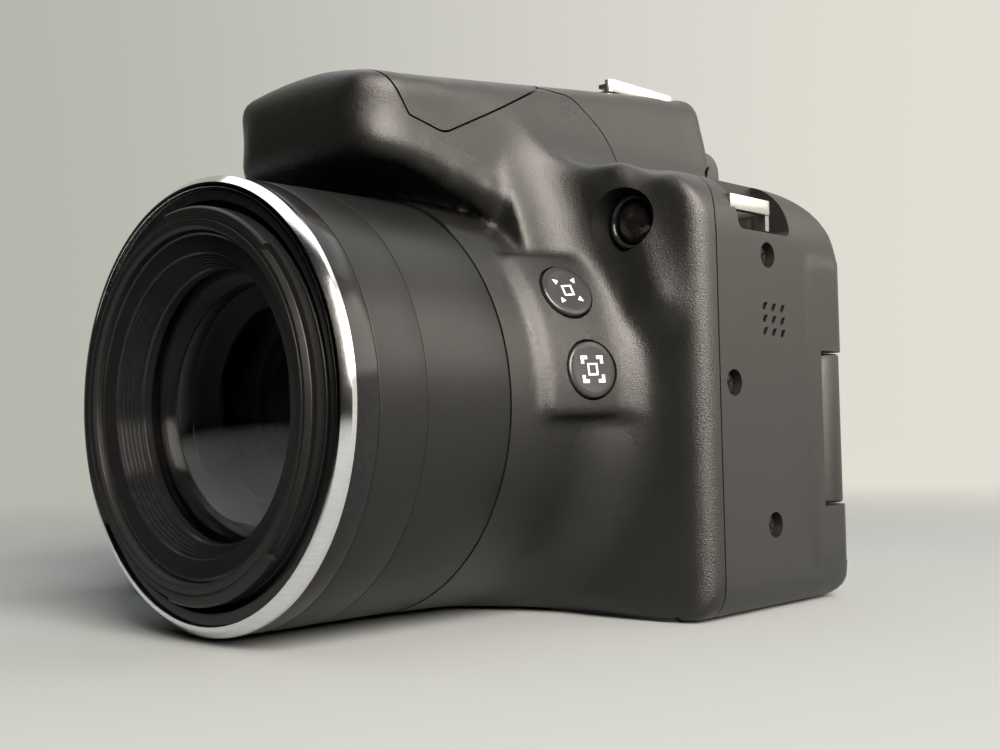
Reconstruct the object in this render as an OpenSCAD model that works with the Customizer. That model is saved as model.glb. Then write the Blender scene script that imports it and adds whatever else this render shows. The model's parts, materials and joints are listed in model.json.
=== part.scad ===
// Bridge camera with a fixed superzoom lens, swing-out screen, pop-up flash and side grip.
// Millimetres. +X is the hinge side, +Y the back, +Z up. The lens looks along -Y.

/* [Body] */
// Width from the grip side to the hinge side
body_w = 122.5; // [116:0.5:130]
// Shoulders above the top of the barrel
shoulder_over = 2.6; // [2:0.1:4]
// Front face of the body, beside the lens
body_front = -2.5; // [-4:0.25:-2]
// Rear face of the body, flush with the screen
body_rear = 40.5; // [39:0.5:43]
// Where the front and rear covers meet on the sides
seam_y = 4.2; // [2:0.2:6]
// Thickness of the plastic covers
wall = 2; // [1.6:0.1:2.4]
// Open seam between two covers
seam = 0.16; // [0.1:0.02:0.3]
// Thickness of the base plate and of the battery door
plate_t = 1.8; // [1.4:0.1:2]

/* [Grip] */
// Front of the grip
grip_front = -28; // [-32:0.5:-25]
// Width of the grip, at its front
grip_w = 28.25; // [26:0.25:31]
// Thickness of the rubber skin
rubber_t = 1; // [0.6:0.1:1.4]

/* [Hump] */
// Front of the nose above the lens
nose_y = -35.4; // [-38:0.2:-32]
// Half width of the nose
nose_w = 16.8; // [14:0.2:18]
// Radius of the crowned top
crown_r = 50; // [44:1:60]
// Hot shoe deck above the shoulders
deck_over = 20.6; // [19:0.1:23]
// Rear end of the hot shoe deck
deck_y = 47.4; // [45:0.2:49]
// Half width of the eyepiece block
eye_w = 16.5; // [15:0.5:18]
// Middle of the eyepiece above the shoulders
eye_over = 6; // [5:0.5:7]
// Rear end of the eyecup
cup_y = 52.75; // [50:0.25:55]

/* [Lens] */
// Outside radius of the fixed barrel
barrel_r = 30.5; // [27:0.05:34]
// Room between the barrel and the hinge side
beside = 14.95; // [13:0.05:17]
// Room under the barrel
under = 0.9; // [0.6:0.05:1.5]
// Front end of the lens rim
rim_y = -52.75; // [-56:0.25:-50]
// Width of the black ring between the trim and the lens rim
rim_step = 4.2; // [4:0.05:4.6]
// Width of the rim and the name ring around the front glass
glass_step = 7.9; // [7.2:0.1:9]
// Travel of each of the two zoom tubes
zoom_run = 32; // [24:1:34]
// Gap between sliding tubes
tube_gap = 0.3; // [0.2:0.05:0.4]

/* [Screen] */
// Height of the screen panel
screen_h = 46.2; // [44:0.2:47]
// Bottom edge of the screen panel
screen_z = 6.1; // [5.6:0.1:7]
// Grip-side edge of the screen panel
screen_x = -14; // [-16:0.5:-10]
// Thickness of the screen panel
screen_t = 6.5; // [5.5:0.1:7]
// Radius of the screen hinge
hinge_r = 3.7; // [3.3:0.1:3.9]

/* [Controls] */
// Middle of the shutter button, from the grip side and from the body's middle
shutter_from = [19.25, -7];
// Middle of the mode dial, from the same
dial_from = [35.25, 22];
// Radius of the mode dial
dial_r = 9.8; // [8:0.2:11]
// Middle of the power button, from the same
power_from = [18.25, 13];
// Middle of the control wheel, from the grip side and up
wheel_from = [24.75, 26];
// Radius of the control wheel
wheel_r = 11; // [9:0.5:12]

/* [Hidden] */
$fn = 48;
hw = body_w / 2;
cav = wall;
lens_x = hw - beside - barrel_r;
lens_z = barrel_r + under;
lens = [lens_x, 0, lens_z];
shoulder_z = lens_z + barrel_r + shoulder_over;
deck_z = shoulder_z + deck_over;
eye_z = shoulder_z + eye_over;
eye_y = cup_y - 6.55;
grip_in = grip_w - hw;
function from_grip(p) = [p[0] - hw, p[1]];
shutter_at = from_grip(shutter_from);
dial_at = from_grip(dial_from);
power_at = from_grip(power_from);
wheel_at = from_grip(wheel_from);
rim_r = barrel_r - rim_step;
glass_r = rim_r - glass_step;
// Stations along the lens, from the rim
hood_y = rim_y + 2.25;
trim_y = rim_y + 1.8;
band_y = rim_y + 3.65;
barrel_y = rim_y + 7.15;
hood_in = barrel_r - 3.3;
trim_in = barrel_r - 1.6;
collar_y = -22.4;
neck_r = barrel_r - 1.2;
opening_r = neck_r + 0.3;
mid_r = rim_r - 0.1;
mid_in = mid_r - 1.4;
front_r = mid_in - tube_gap;
front_in = front_r - 1.3;
cam_in = mid_r + tube_gap;
cam_r = cam_in + 0.8;
bore_r = cam_r + tube_gap;
// Gear on the cam ring and the motor's gear
tooth_m = 0.7;
ring_n = round(2 * (cam_r + 0.7) / tooth_m);
gear_n = 12;
ring_p = ring_n * tooth_m / 2;
gear_p = gear_n * tooth_m / 2;
gear_d = ring_p + gear_p + 0.12;
gear_a = 150;
gear_at = [lens_x + gear_d * cos(gear_a), 0, lens_z + gear_d * sin(gear_a)];
plate_y = 18;
mid_front = rim_y + 2.55;
mid_back = mid_front + zoom_run + 22.2;
front_back = hood_y + zoom_run + 12.5;
rod_off = front_in - 2.7;
group_r = rod_off - 4.5;
rod_r = 0.9;
// Flash hinge line, just under the top of the hump
flash_y = -1.2;
flash_z = deck_z - 3.82;
// Screen hinge line
hinge_x = hw - hinge_r - 0.15;
hinge_y = body_rear - hinge_r;
panel_x = hinge_x - hinge_r - 0.6;
panel_y = body_rear - screen_t;
knuckle_z = 14.9;
knuckle_h = 23.4;
screen_top = screen_z + screen_h;
// Battery, card and battery door
cell = [15, 32.5, 45];
cell_at = [6.75 - hw, -13.6, 3.2];
card = [2.1, 24, 32];
card_at = [23.85 - hw, -6.4, 4];
door_x0 = 5.75 - hw;
door_y0 = -14.7;
door_y1 = 19.5;
door_ax = 27.25 - hw;
door_az = 1.1;
// Base plate
base_x0 = grip_in + 5;
base_x1 = hw - 5.75;
base_y0 = body_front + 3;
base_y1 = 36;
socket_y = 25.5;
// Terminal door on the grip side
port_y0 = 8;
port_y1 = 28.6;
port_z0 = 12;
port_z1 = 38;
port_t = 1.35;
port_ax = -hw + port_t / 2 + 0.02;
// Strap lug recess, as y and z ranges
lug_y0 = 8.6;
lug_y1 = 24;
lug_z0 = shoulder_z - 8.9;
lug_in = 6.8;
// Cover split on the grip side's top
top_x = lens_x - 27.8;
top_z = shoulder_z - 10.5;
lamp_at = [hw - 11.85, shoulder_z - 7.5];
// Framing buttons on the lens base: place along the lens, and angle about it
seek_at = [-10, 27];
lock_at = [-9.1, 7];
frame_at = from_grip([38.75, 45]);
movie_at = from_grip([26.25, 48]);
play_at = from_grip([39.75, 35.5]);
menu_at = from_grip([15.75, 10.5]);
disp_at = from_grip([33.75, 10.5]);
screw_side = [[17.4, 52.3], [7.7, 33.4], [17.5, 12.7]];
screw_base = [for (x = [base_x0 + 4, base_x1 - 4], y = [base_y0 + 4.1, base_y1 - 9.5]) [x, y]];
speaker_at = [18.5, 42.8];

// Outline helpers: a path is a list of [across, up, corner radius], counter-clockwise.
function xy(p) = [p[0], p[1]];
function unit(v) = v / norm(v);
function inward(a, b) = let (v = unit(b - a)) [-v[1], v[0]];
function at(path, i) = xy(path[(i + len(path)) % len(path)]);
function inset(path, d) = [for (i = [0:len(path) - 1])
    let (a = at(path, i - 1), b = at(path, i), c = at(path, i + 1))
    let (n = inward(a, b), m = inward(b, c), p = b + (n + m) * d / (1 + n * m))
    [p[0], p[1], max(0, path[i][2] - d * sign(cross(b - a, c - b)))]];
function arc(a, b, c, r, n) = r < 0.01 ? [b] :
    let (u = unit(a - b), v = unit(c - b), h = acos(u * v) / 2)
    let (o = b + unit(u + v) * r / sin(h), s = b + u * r / tan(h) - o, e = b + v * r / tan(h) - o)
    let (t = atan2(s[1], s[0]), w = (atan2(e[1], e[0]) - t + 900) % 360 - 180)
    [for (k = [0:n]) o + r * [cos(t + w * k / n), sin(t + w * k / n)]];
function rounded(path, n = 5) = [for (i = [0:len(path) - 1])
    each arc(at(path, i - 1), at(path, i), at(path, i + 1), path[i][2], n)];
module outline(path, d = 0) polygon(rounded(inset(path, d)));
module along_x(x0, x1) translate([x0, 0, 0]) rotate([90, 0, 90]) linear_extrude(x1 - x0) children();
module along_y(y0, y1) translate([0, y1, 0]) rotate([90, 0, 0]) linear_extrude(y1 - y0) children();
module along_z(z0, z1) translate([0, 0, z0]) linear_extrude(z1 - z0) children();
module box(a, b) translate(a) cube(b - a);
// A ring or disc about the lens axis, from a profile of [radius, y]
module turned(profile) translate(lens) rotate([-90, 0, 0]) rotate_extrude() polygon(profile);
module lens_rod(r, y0, y1) translate([lens_x, y0, lens_z]) rotate([-90, 0, 0]) cylinder(r = r, h = y1 - y0);
module rod_y(r, p, y0, y1) translate([p[0], y0, p[1]]) rotate([-90, 0, 0]) cylinder(r = r, h = y1 - y0);
module rod_z(r, p, z0, z1) translate([p[0], p[1], z0]) cylinder(r = r, h = z1 - z0);
module rod_x(r, p, x0, x1) translate([x0, p[0], p[1]]) rotate([0, 90, 0]) cylinder(r = r, h = x1 - x0);

// Forms of the body, each shrunk by d on every side.
body_fx = [[-hw, 0, 5], [hw, 0, 4.5], [hw, shoulder_z, 9], [-hw, shoulder_z, 9]];
body_sx = [[body_front, 0, 4], [body_rear, 0, 4], [body_rear, shoulder_z, 17], [body_front, shoulder_z, 7]];
body_px = [[-hw, body_front, 4], [hw - 17.25, body_front, 8], [hw, body_front + 3.5, 3.5], [hw, body_rear, 2.5],
    [-hw, body_rear, 8]];
module body_form(d = 0) intersection() {
    along_y(-60, 60) outline(body_fx, d);
    along_x(-90, 90) outline(body_sx, d);
    along_z(-5, 120) outline(body_px, d);
}

grip_px = [[-hw, grip_front + 13, 5], [grip_in - 9, grip_front + 2, 8], [grip_in, grip_front, 8], [grip_in + 7, 0, 6],
    [grip_in + 7, 12, 0], [-hw, 12, 0]];
grip_sx = [[grip_front, 0, 8], [12, 0, 0], [12, shoulder_z, 0], [grip_front, shoulder_z, 9]];
grip_fx = [[-hw, 0, 5], [grip_in + 7, 0, 4], [grip_in + 7, shoulder_z, 5], [-hw, shoulder_z, 9]];
module grip_form(d = 0) intersection() {
    along_z(-5, 120) outline(grip_px, d);
    along_x(-90, 0) outline(grip_sx, d);
    along_y(-60, 60) outline(grip_fx, d);
}

hump_low = shoulder_z - 18.5;
hump_sx = [[nose_y + 0.5, shoulder_z + 1.5, 2.5], [nose_y + 9.4, shoulder_z - 0.2, 10],
    [-12, shoulder_z - 5, 3], [-10, hump_low, 0], [36, hump_low, 0],
    [deck_y - 3, deck_z, 0], [12, deck_z, 12], [nose_y, deck_z - 5.6, 6.5]];
lip_sx = [[40, deck_z - 5, 0], [deck_y, deck_z - 2.7, 0.5], [deck_y, deck_z, 1.2], [40, deck_z, 0]];
hump_fx = [[-30, hump_low, 0], [30, hump_low, 0], [30, shoulder_z - 1.5, 0], [20.5, shoulder_z + 3.5, 8],
    [15, deck_z + 0.9, 6], [-15, deck_z + 0.9, 6], [-20.5, shoulder_z + 3.5, 8],
    [-30, shoulder_z - 1.5, 0]];
hump_px = [[-nose_w, nose_y, 10.5], [nose_w, nose_y, 8], [20.4, body_front, 9], [31, body_front + 0.3, 0],
    [31, 6, 0], [27.5, 10, 0], [27.5, 50, 0], [-27.5, 50, 0], [-27.5, 10, 0], [-31, 6, 0],
    [-31, body_front + 0.3, 0], [-20.4, body_front, 9]];
module hump_form(d = 0) translate([lens_x, 0, 0]) intersection() {
    along_x(-40, 40) outline(hump_sx, d);
    along_y(-60, 60) outline(hump_fx, d);
    along_z(0, 120) outline(hump_px, d);
    translate([0, nose_y, deck_z - 6.5]) rotate([6.73, 0, 0]) translate([0, -40, -crown_r])
        rotate([-90, 0, 0]) cylinder(r = crown_r - d, h = 160, $fn = 144);
}
// Rear lip of the hot shoe deck
module lip_form() translate([lens_x, 0, 0]) intersection() {
    along_x(-14.4, 14.4) outline(lip_sx);
    along_y(30, 60) outline(hump_fx);
}

eye_lo = eye_z - 10.5;
eye_hi = eye_z + 9.5;
eye_sx = [[34, eye_lo, 0], [eye_y, eye_lo, 2.5], [eye_y, eye_hi, 4.5], [34, eye_hi, 0]];
eye_fx = [[-eye_w, eye_lo, 3], [eye_w, eye_lo, 3], [eye_w, eye_hi, 6], [-eye_w, eye_hi, 6]];
module eye_form(d = 0) translate([lens_x, 0, 0]) intersection() {
    along_x(-40, 40) outline(eye_sx, d);
    along_y(-60, 60) outline(eye_fx, d);
}

// Lens base: a collar round the barrel that runs out into the front face
base_r = barrel_r + 0.4;
function run_out(r, e) = [for (k = [0:6]) [r + e - e * cos(15 * k), body_front - e + e * sin(15 * k)]];
module collar_form(d = 0) intersection() {
    turned(concat([[0, 4], [0, collar_y], [barrel_r - 0.2 - d, collar_y]],
        [for (p = run_out(base_r, 8)) [p[0] - d, p[1]]], [[base_r + 8 - d, 4]]));
    along_y(-60, 60) outline([[-hw, 0.5, 0], [hw, 0.5, 0], [hw, 120, 0], [-hw, 120, 0]], d);
}
module envelope() {
    body_form();
    grip_form();
    hump_form();
    eye_form();
    lip_form();
    collar_form();
}
module cavity() {
    body_form(cav);
    grip_form(cav);
    hump_form(cav);
    eye_form(cav);
}

// Space in front of the joint between the covers, and the grip-side top
split_px = [[-70, -10, 0], [seam_y, -10, 0], [seam_y, shoulder_z - 6.5, 8],
    [seam_y + 3.8, shoulder_z + 0.5, 8], [seam_y + 8.8, shoulder_z + 5.5, 4],
    [seam_y + 8.8, shoulder_z + 9.5, 5], [seam_y + 2.8, deck_z - 5.5, 4], [flash_y + 1.6, deck_z - 5.2, 0],
    [flash_y + 1.6, 120, 0], [-70, 120, 0]];
module front_zone(d) along_x(-90, 90) outline(split_px, d);
module top_zone(d) box([-90, -80, top_z + d], [top_x - d, 80, 120]);
rubber_top = shoulder_z - 13.5;
rubber_px = [[-hw - 5, 7, 0], [grip_in + 6, 7, 6], [grip_in + 3, rubber_top, 8], [-hw - 5, rubber_top, 0]];
module rubber_zone(d) intersection() {
    along_y(grip_front - 5, -1.5 - d) outline(rubber_px, d);
    box([-90, -60, 0], [grip_in + 3, 20, shoulder_z]);
}
module rubber_layer(d) intersection() {
    rubber_zone(d);
    difference() {
        grip_form(-2);
        grip_form(rubber_t);
    }
}

// Pop-up flash: the wedge of the hump that swings up, seen from the side
flash_px = [[nose_y + 6.8, deck_z - 8.3, 0], [nose_y + 10.4, deck_z - 13.2, 1],
    [nose_y + 16.4, deck_z - 14.5, 4], [flash_y + 1.3, deck_z - 5.4, 1.2],
    [flash_y + 1.3, flash_z + 1.3, 1.29], [flash_y - 1.4, flash_z + 1.3, 0],
    [flash_y - 1.8, 120, 0], [nose_y + 5.8, 120, 0], [nose_y + 5.8, deck_z - 6.6, 0]];
module flash_zone(d) along_x(lens_x - 40, lens_x + 40) outline(flash_px, d);

// Recess for the screen, with its hinge gap
module screen_recess() {
    box([screen_x - 0.4, panel_y - 0.4, screen_z - 0.4], [panel_x + 0.3, 70, screen_top + 0.4]);
    box([panel_x - 1, panel_y - 2.6, knuckle_z - 0.3], [hw + 20, 70, knuckle_z + knuckle_h + 0.3]);
    // The housing beside the screen is round behind the hinge line, so the panel's edge can pass
    difference() {
        box([panel_x - 1, hinge_y, screen_z - 0.4], [hw + 20, 70, screen_top + 0.4]);
        rod_z(hinge_r + 0.3, [hinge_x, hinge_y], 0, shoulder_z);
    }
}
module screen_liner() {
    box([screen_x - 2, panel_y - 2, screen_z - 2], [panel_x + 2, body_rear, screen_z + screen_h + 2]);
    box([panel_x - 2.6, panel_y - 4.2, screen_z - 2], [hw - 0.4, body_rear, screen_z + screen_h + 2]);
}
module lug_recess(d = 0) box([hw - lug_in - d, lug_y0 - d, lug_z0 - d], [hw + 10, lug_y1 + d, 120]);
module port_recess(d = 0) box([-hw - 10, port_y0 - 0.25 - d, port_z0 - 0.25 - d],
    [-hw + 3 + d, port_y1 + 1.1 + d, port_z1 + 0.25 + d]);
module side_screws() for (p = screw_side) translate([hw - 0.9, p[0], p[1]]) rotate([0, 90, 0]) children();
module grip_screws() for (p = [[28, 48], [28, 7.6]]) translate([-hw + 0.9, p[0], p[1]])
    rotate([0, -90, 0]) children();
module base_screws() for (p = screw_base) translate([p[0], p[1], 0.9]) rotate([180, 0, 0]) children();
module screw_seat() {
    translate([0, 0, -0.9]) cylinder(r = 1.9, h = 4);
    translate([0, 0, -5.4]) cylinder(r = 0.85, h = 6);
}
module screw_boss() translate([0, 0, -5]) cylinder(r = 2.4, h = 4.6);
module button_hole(p, r) rod_y(r, p, 30, 50);

module front_cover() color([0.15, 0.15, 0.16]) difference() {
    union() {
        intersection() {
            difference() {
                envelope();
                cavity();
            }
            front_zone(seam / 2);
        }
        // Tray under the flash
        intersection() {
            hump_form(0.6);
            flash_zone(-2);
            front_zone(seam / 2);
        }
        // Boss behind the lamp
        intersection() {
            body_form(0.5);
            rod_y(6, lamp_at, -20, 3.6);
        }
        box([door_ax - 2.4, door_y0 - 3.4, 0.6], [door_ax + 2, door_y0 - 0.3, 3]);
        pad_form();
    }
    flash_zone(-0.35);
    box([lens_x - 36, flash_y - 1.8, flash_z - 0.8], [lens_x + 36, flash_y + 6.2, 120]);
    top_zone(-seam / 2);
    rubber_layer(-0.1);
    lens_rod(opening_r, -60, 20);
    rod_y(4.7, lamp_at, -20, body_front + 4.2);
    rod_y(3.4, lamp_at, -20, 20);
    framing_space(seek_at);
    framing_space(lock_at);
    battery_opening();
    base_opening();
    rod_y(0.55, [door_ax, door_az], door_y0 - 2, door_y0);
}

module rear_cover() color([0.16, 0.16, 0.17]) difference() {
    union() {
        intersection() {
            union() {
                difference() {
                    envelope();
                    cavity();
                }
                intersection() {
                    body_form();
                    union() {
                        screen_liner();
                        lug_recess(1.5);
                        port_recess(1.2);
                        side_screws() screw_boss();
                        grip_screws() screw_boss();
                        for (p = [movie_at, play_at, menu_at, disp_at, frame_at])
                            rod_y(4.8, p, body_rear - 9, body_rear);
                        rod_y(wheel_r + 2, wheel_at, body_rear - 6.2, body_rear);
                    }
                }
            }
            difference() {
                box([-90, -40, -5], [90, 80, 120]);
                front_zone(-seam / 2);
            }
        }
        box([door_ax - 2.4, door_y1 + 0.3, 0.6], [door_ax + 2, door_y1 + 3.4, 3]);
        flash_lug();
    }
    top_zone(-seam / 2);
    screen_recess();
    rod_z(1.45, [hinge_x, hinge_y], knuckle_z - 3, knuckle_z + knuckle_h + 3);
    lug_recess();
    port_recess();
    rod_z(0.5, [port_ax, port_y1], port_z0 - 1.6, port_z1 + 1.6);
    side_screws() screw_seat();
    grip_screws() screw_seat();
    speaker_holes();
    button_hole(movie_at, 3.7);
    button_hole(play_at, 3.1);
    button_hole(menu_at, 3.1);
    button_hole(disp_at, 3.1);
    button_hole(frame_at, 3.1);
    rod_y(wheel_r + 0.3, wheel_at, body_rear - 3.4, 60);
    rod_y(4.2, wheel_at, 20, 60);
    box([lens_x - 9.8, eye_y - 6.2, eye_z - 7.3], [lens_x + 9.8, eye_y + 14, eye_z + 7.3]);
    rod_x(0.65, diopter_at, lens_x + eye_w - 6, lens_x + eye_w + 4);
    rod_x(4.5, diopter_at, lens_x + eye_w - 1, lens_x + eye_w + 4);
    battery_opening();
    base_opening();
    rod_y(0.55, [door_ax, door_az], door_y1, door_y1 + 2);
    rod_x(0.65, [flash_y, flash_z], lens_x - 6, lens_x + 6);
}
module flash_lug() {
    rod_x(1.2, [flash_y, flash_z], lens_x - 3, lens_x + 3);
    box([lens_x - 3, flash_y, flash_z - 1.2], [lens_x + 3, 4, flash_z + 0.3]);
}
module speaker_holes() for (i = [-1:1], j = [-1:1])
    rod_x(0.55, speaker_at + [2.5 * i + 0.4 * j, 1.9 * j - 0.5 * i], 50, 80);
module battery_opening() box([door_x0 - 0.3, door_y0 - 0.3, -5], [door_ax + 1.6, door_y1 + 0.3, 2.6]);
module base_opening() box([base_x0 - 0.15, base_y0 - 0.15, -5], [base_x1 + 0.15, base_y1 + 0.15, 2.6]);

module top_cover() color([0.17, 0.17, 0.18]) difference() {
    union() {
        intersection() {
            difference() {
                envelope();
                cavity();
            }
            top_zone(seam / 2);
        }
        intersection() {
            body_form();
            mirror([1, 0, 0]) lug_recess(1.5);
            top_zone(seam / 2);
        }
        intersection() {
            body_form();
            rod_z(power_r + 1.6, power_at, shoulder_z - 6, shoulder_z);
        }
        intersection() {
            grip_form();
            rod_z(7, shutter_at, shoulder_z - 6, shoulder_z);
        }
        rod_z(9.6, shutter_at, shoulder_z - 1, shoulder_z + 0.6);
    }
    mirror([1, 0, 0]) lug_recess();
    rod_z(2.9, shutter_at, shoulder_z - 24, shoulder_z + 25);
    rod_z(6.1, shutter_at, shoulder_z - 1.4, shoulder_z + 25);
    rod_z(2.85, dial_at, shoulder_z - 24, shoulder_z + 25);
    rod_z(power_r + 0.3, power_at, shoulder_z - 3.2, shoulder_z + 25);
    rod_z(1.8, power_at, shoulder_z - 24, shoulder_z + 25);
}
power_r = 4;
diopter_at = [eye_y - 5.2, eye_z - 2.5];

module base_plate() color([0.1, 0.1, 0.11]) difference() {
    union() {
        along_z(0, plate_t) outline([[base_x0, base_y0, 3], [base_x1, base_y0, 3], [base_x1, base_y1, 3],
            [base_x0, base_y1, 3]]);
        for (p = screw_base) rod_z(2.4, p, plate_t - 0.5, 5.4);
    }
    rod_z(5.6, [lens_x, socket_y], -1, 10);
    base_screws() screw_seat();
    lens_rod(neck_r + 0.1, -60, 5);
}

module grip_rubber() color([0.08, 0.08, 0.085]) difference() {
    intersection() {
        grip_form();
        rubber_layer(0);
    }
    top_zone(-seam / 2);
}

module thumb_rest() color([0.08, 0.08, 0.085]) intersection() {
    difference() {
        body_form(-1.4);
        body_form();
    }
    along_y(20, 60) outline([[2.25 - hw, 35, 3], [15.25 - hw, 35, 3], [18.25 - hw, 48, 3],
        [18.25 - hw, top_z - 0.3, 2], [2.25 - hw, top_z - 0.3, 2]]);
}

// Pad on the lens base for the two framing buttons, and the cheek that leads up to the hump
pad_r = barrel_r + 2.5;
pad_y = -17.2;
pad_lo = lens_z - 2.4;
pad_hi = lens_z + 20.6;
module pad_form() difference() {
    union() {
        intersection() {
            turned(concat([[opening_r, pad_y], [pad_r - 0.8, pad_y], [pad_r, pad_y + 0.8]], run_out(pad_r, 6),
                [[pad_r + 6, 2], [opening_r, 2]]));
            box([lens_x + 10, -40, pad_lo], [hw, 20, pad_hi]);
        }
        along_y(-12.5, 2) outline([[lens_x + 12, pad_hi - 2, 0], [lens_x + 26.2, pad_hi - 2, 0],
            [lens_x + 26.2, pad_hi, 0], [lens_x + 20.4, shoulder_z, 0], [lens_x + 12, shoulder_z, 0]]);
    }
    body_form(cav);
    hump_form(cav);
    lens_rod(opening_r, -60, 20);
}
module on_base(p) translate([lens_x, p[0], lens_z]) rotate([0, -p[1], 0]) translate([pad_r, 0, 0])
    rotate([0, 90, 0]) children();
module framing_space(p) on_base(p) translate([0, 0, -2.8]) cylinder(r = 4.35, h = 20);
module seek_button() color([0.1, 0.1, 0.1]) on_base(seek_at) translate([0, 0, -1.6]) round_cap(4, 2.3);
module lock_button() color([0.1, 0.1, 0.1]) on_base(lock_at) translate([0, 0, -1.6]) round_cap(4, 2.3);
module round_cap(r, h, e = 0.4) rotate_extrude()
    polygon([[0, 0], [r, 0], [r, h - e], [r - e, h], [0, h]]);
module lamp_lens() color([0.35, 0.12, 0.08]) intersection() {
    rod_y(3.35, lamp_at, body_front + 2, body_front + 8);
    translate([lamp_at[0], body_front + 10, lamp_at[1]]) sphere(r = 7.4);
}

shoe_y = deck_y - 21.9;
module hot_shoe_rails() color([0.8, 0.8, 0.8]) translate([lens_x, 0, 0]) difference() {
    box([-10.6, shoe_y, deck_z], [10.6, shoe_y + 18.5, deck_z + 2.2]);
    box([-9.4, shoe_y - 5, deck_z + 0.3], [9.4, shoe_y + 30, deck_z + 1.5]);
    box([-6.4, shoe_y - 5, deck_z + 0.3], [6.4, shoe_y + 30, deck_z + 5]);
    box([-9.4, shoe_y - 5, deck_z + 0.3], [9.4, shoe_y + 2, deck_z + 5]);
}
module hot_shoe_base() color([0.1, 0.1, 0.1]) translate([lens_x, 0, 0]) difference() {
    box([-9.2, shoe_y + 0.5, deck_z + 0.3], [9.2, shoe_y + 18.3, deck_z + 0.6]);
    for (p = [[0, 8.5], [4.5, 13.5], [-4.5, 13.5], [4.5, 8.5]]) translate([p[0], shoe_y + p[1], deck_z + 0.4])
        cylinder(r = 1.2, h = 2);
}

module lug() {
    lo = lug_z0 + 3.6;
    hi = lug_z0 + 5.8;
    box([hw - 1.9, lug_y0, lo], [hw - 0.7, lug_y0 + 10.4, hi]);
    box([hw - lug_in, lug_y0, lo], [hw - 1.9, lug_y0 + 1.2, hi]);
    box([hw - lug_in, lug_y0 + 9.2, lo], [hw - 1.9, lug_y0 + 10.4, hi]);
}
module strap_lugs() color([0.85, 0.85, 0.85]) {
    lug();
    mirror([1, 0, 0]) lug();
}

module screw() difference() {
    union() {
        cylinder(r = 1.6, h = 0.6);
        translate([0, 0, -4]) cylinder(r = 0.8, h = 4.2);
    }
    for (a = [0, 90]) rotate([0, 0, a]) translate([-1, -0.2, 0.25]) cube([2, 0.4, 1]);
}
module case_screws() color([0.2, 0.2, 0.2]) {
    side_screws() translate([0, 0, -0.9]) screw();
    grip_screws() translate([0, 0, -0.9]) screw();
    base_screws() translate([0, 0, -0.9]) screw();
}

module speaker() color([0.25, 0.25, 0.25]) rod_x(6, speaker_at, hw - wall - 3, hw - wall - 0.05);

module tripod_socket() color([0.7, 0.7, 0.7]) difference() {
    rod_z(5.5, [lens_x, socket_y], 0, 7);
    rod_z(3.175, [lens_x, socket_y], -1, 6);
}

module chassis() color([0.45, 0.45, 0.46]) difference() {
    union() {
        box([grip_in, plate_y, 4], [hw - 9.25, plate_y + 1.6, shoulder_z - 6.5]);
        box([cell_at[0] - 1.2, cell_at[1] - 1.2, 3.2], [door_ax - 0.4, cell_at[1] + cell[1] + 1.3, 50]);
        box([door_ax - 6, 14, 12], [grip_in + 1, plate_y + 1.6, 48]);
        box([lens_x - 6, plate_y, 7], [lens_x + 6, 31, 8.6]);
        for (x = [grip_in + 9, hw - 17.25], z = [14, 50]) rod_y(1.8, [x, z], plate_y + 1, plate_y + 3.6);
    }
    box(cell_at - [0.3, 0.3, 5], cell_at + cell + [0.3, 0.3, 0.4]);
    box(card_at - [0.12, 0.12, 5], card_at + card + [0.12, 0.12, 0.2]);
    box([cell_at[0] - 5.5, -8, 10], [cell_at[0] + 4.5, 2, 40]);
}
module guide_rods() color([0.75, 0.75, 0.75])
    for (s = [-1, 1]) rod_y(rod_r, [lens_x + s * rod_off, lens_z], rim_y + 15.25, plate_y);

// Fixed barrel, with three feet to the chassis
module outer_barrel() color([0.09, 0.09, 0.095]) {
    line_y = barrel_y + 7.8;
    turned([[bore_r, barrel_y], [barrel_r, barrel_y], [barrel_r, line_y], [barrel_r - 0.15, line_y + 0.05],
        [barrel_r - 0.15, line_y + 0.2], [barrel_r - 0.05, line_y + 0.3], [barrel_r - 0.05, collar_y - 0.4],
        [barrel_r - 0.25, collar_y - 0.2], [neck_r, collar_y - 0.2], [neck_r, 3], [bore_r, 3]]);
    for (a = [25, 90, 228]) translate(lens) rotate([0, -a, 0]) {
        box([bore_r + 0.2, 0.8, -3], [barrel_r + 3.5, 2.6, 3]);
        box([barrel_r + 0.5, 0.8, -3], [barrel_r + 3.5, plate_y, 3]);
    }
}
module hood_ring() color([0.05, 0.05, 0.05]) turned([[hood_in, hood_y], [trim_in, hood_y], [trim_in, band_y],
    [barrel_r, band_y], [barrel_r, barrel_y - 0.4], [barrel_r - 0.3, barrel_y], [hood_in, barrel_y]]);
module trim_ring() color([0.85, 0.85, 0.86]) turned([[trim_in, trim_y], [barrel_r - 0.9, trim_y + 0.05],
    [barrel_r + 0.04, trim_y + 1.1], [barrel_r + 0.04, band_y], [trim_in, band_y]]);

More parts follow.
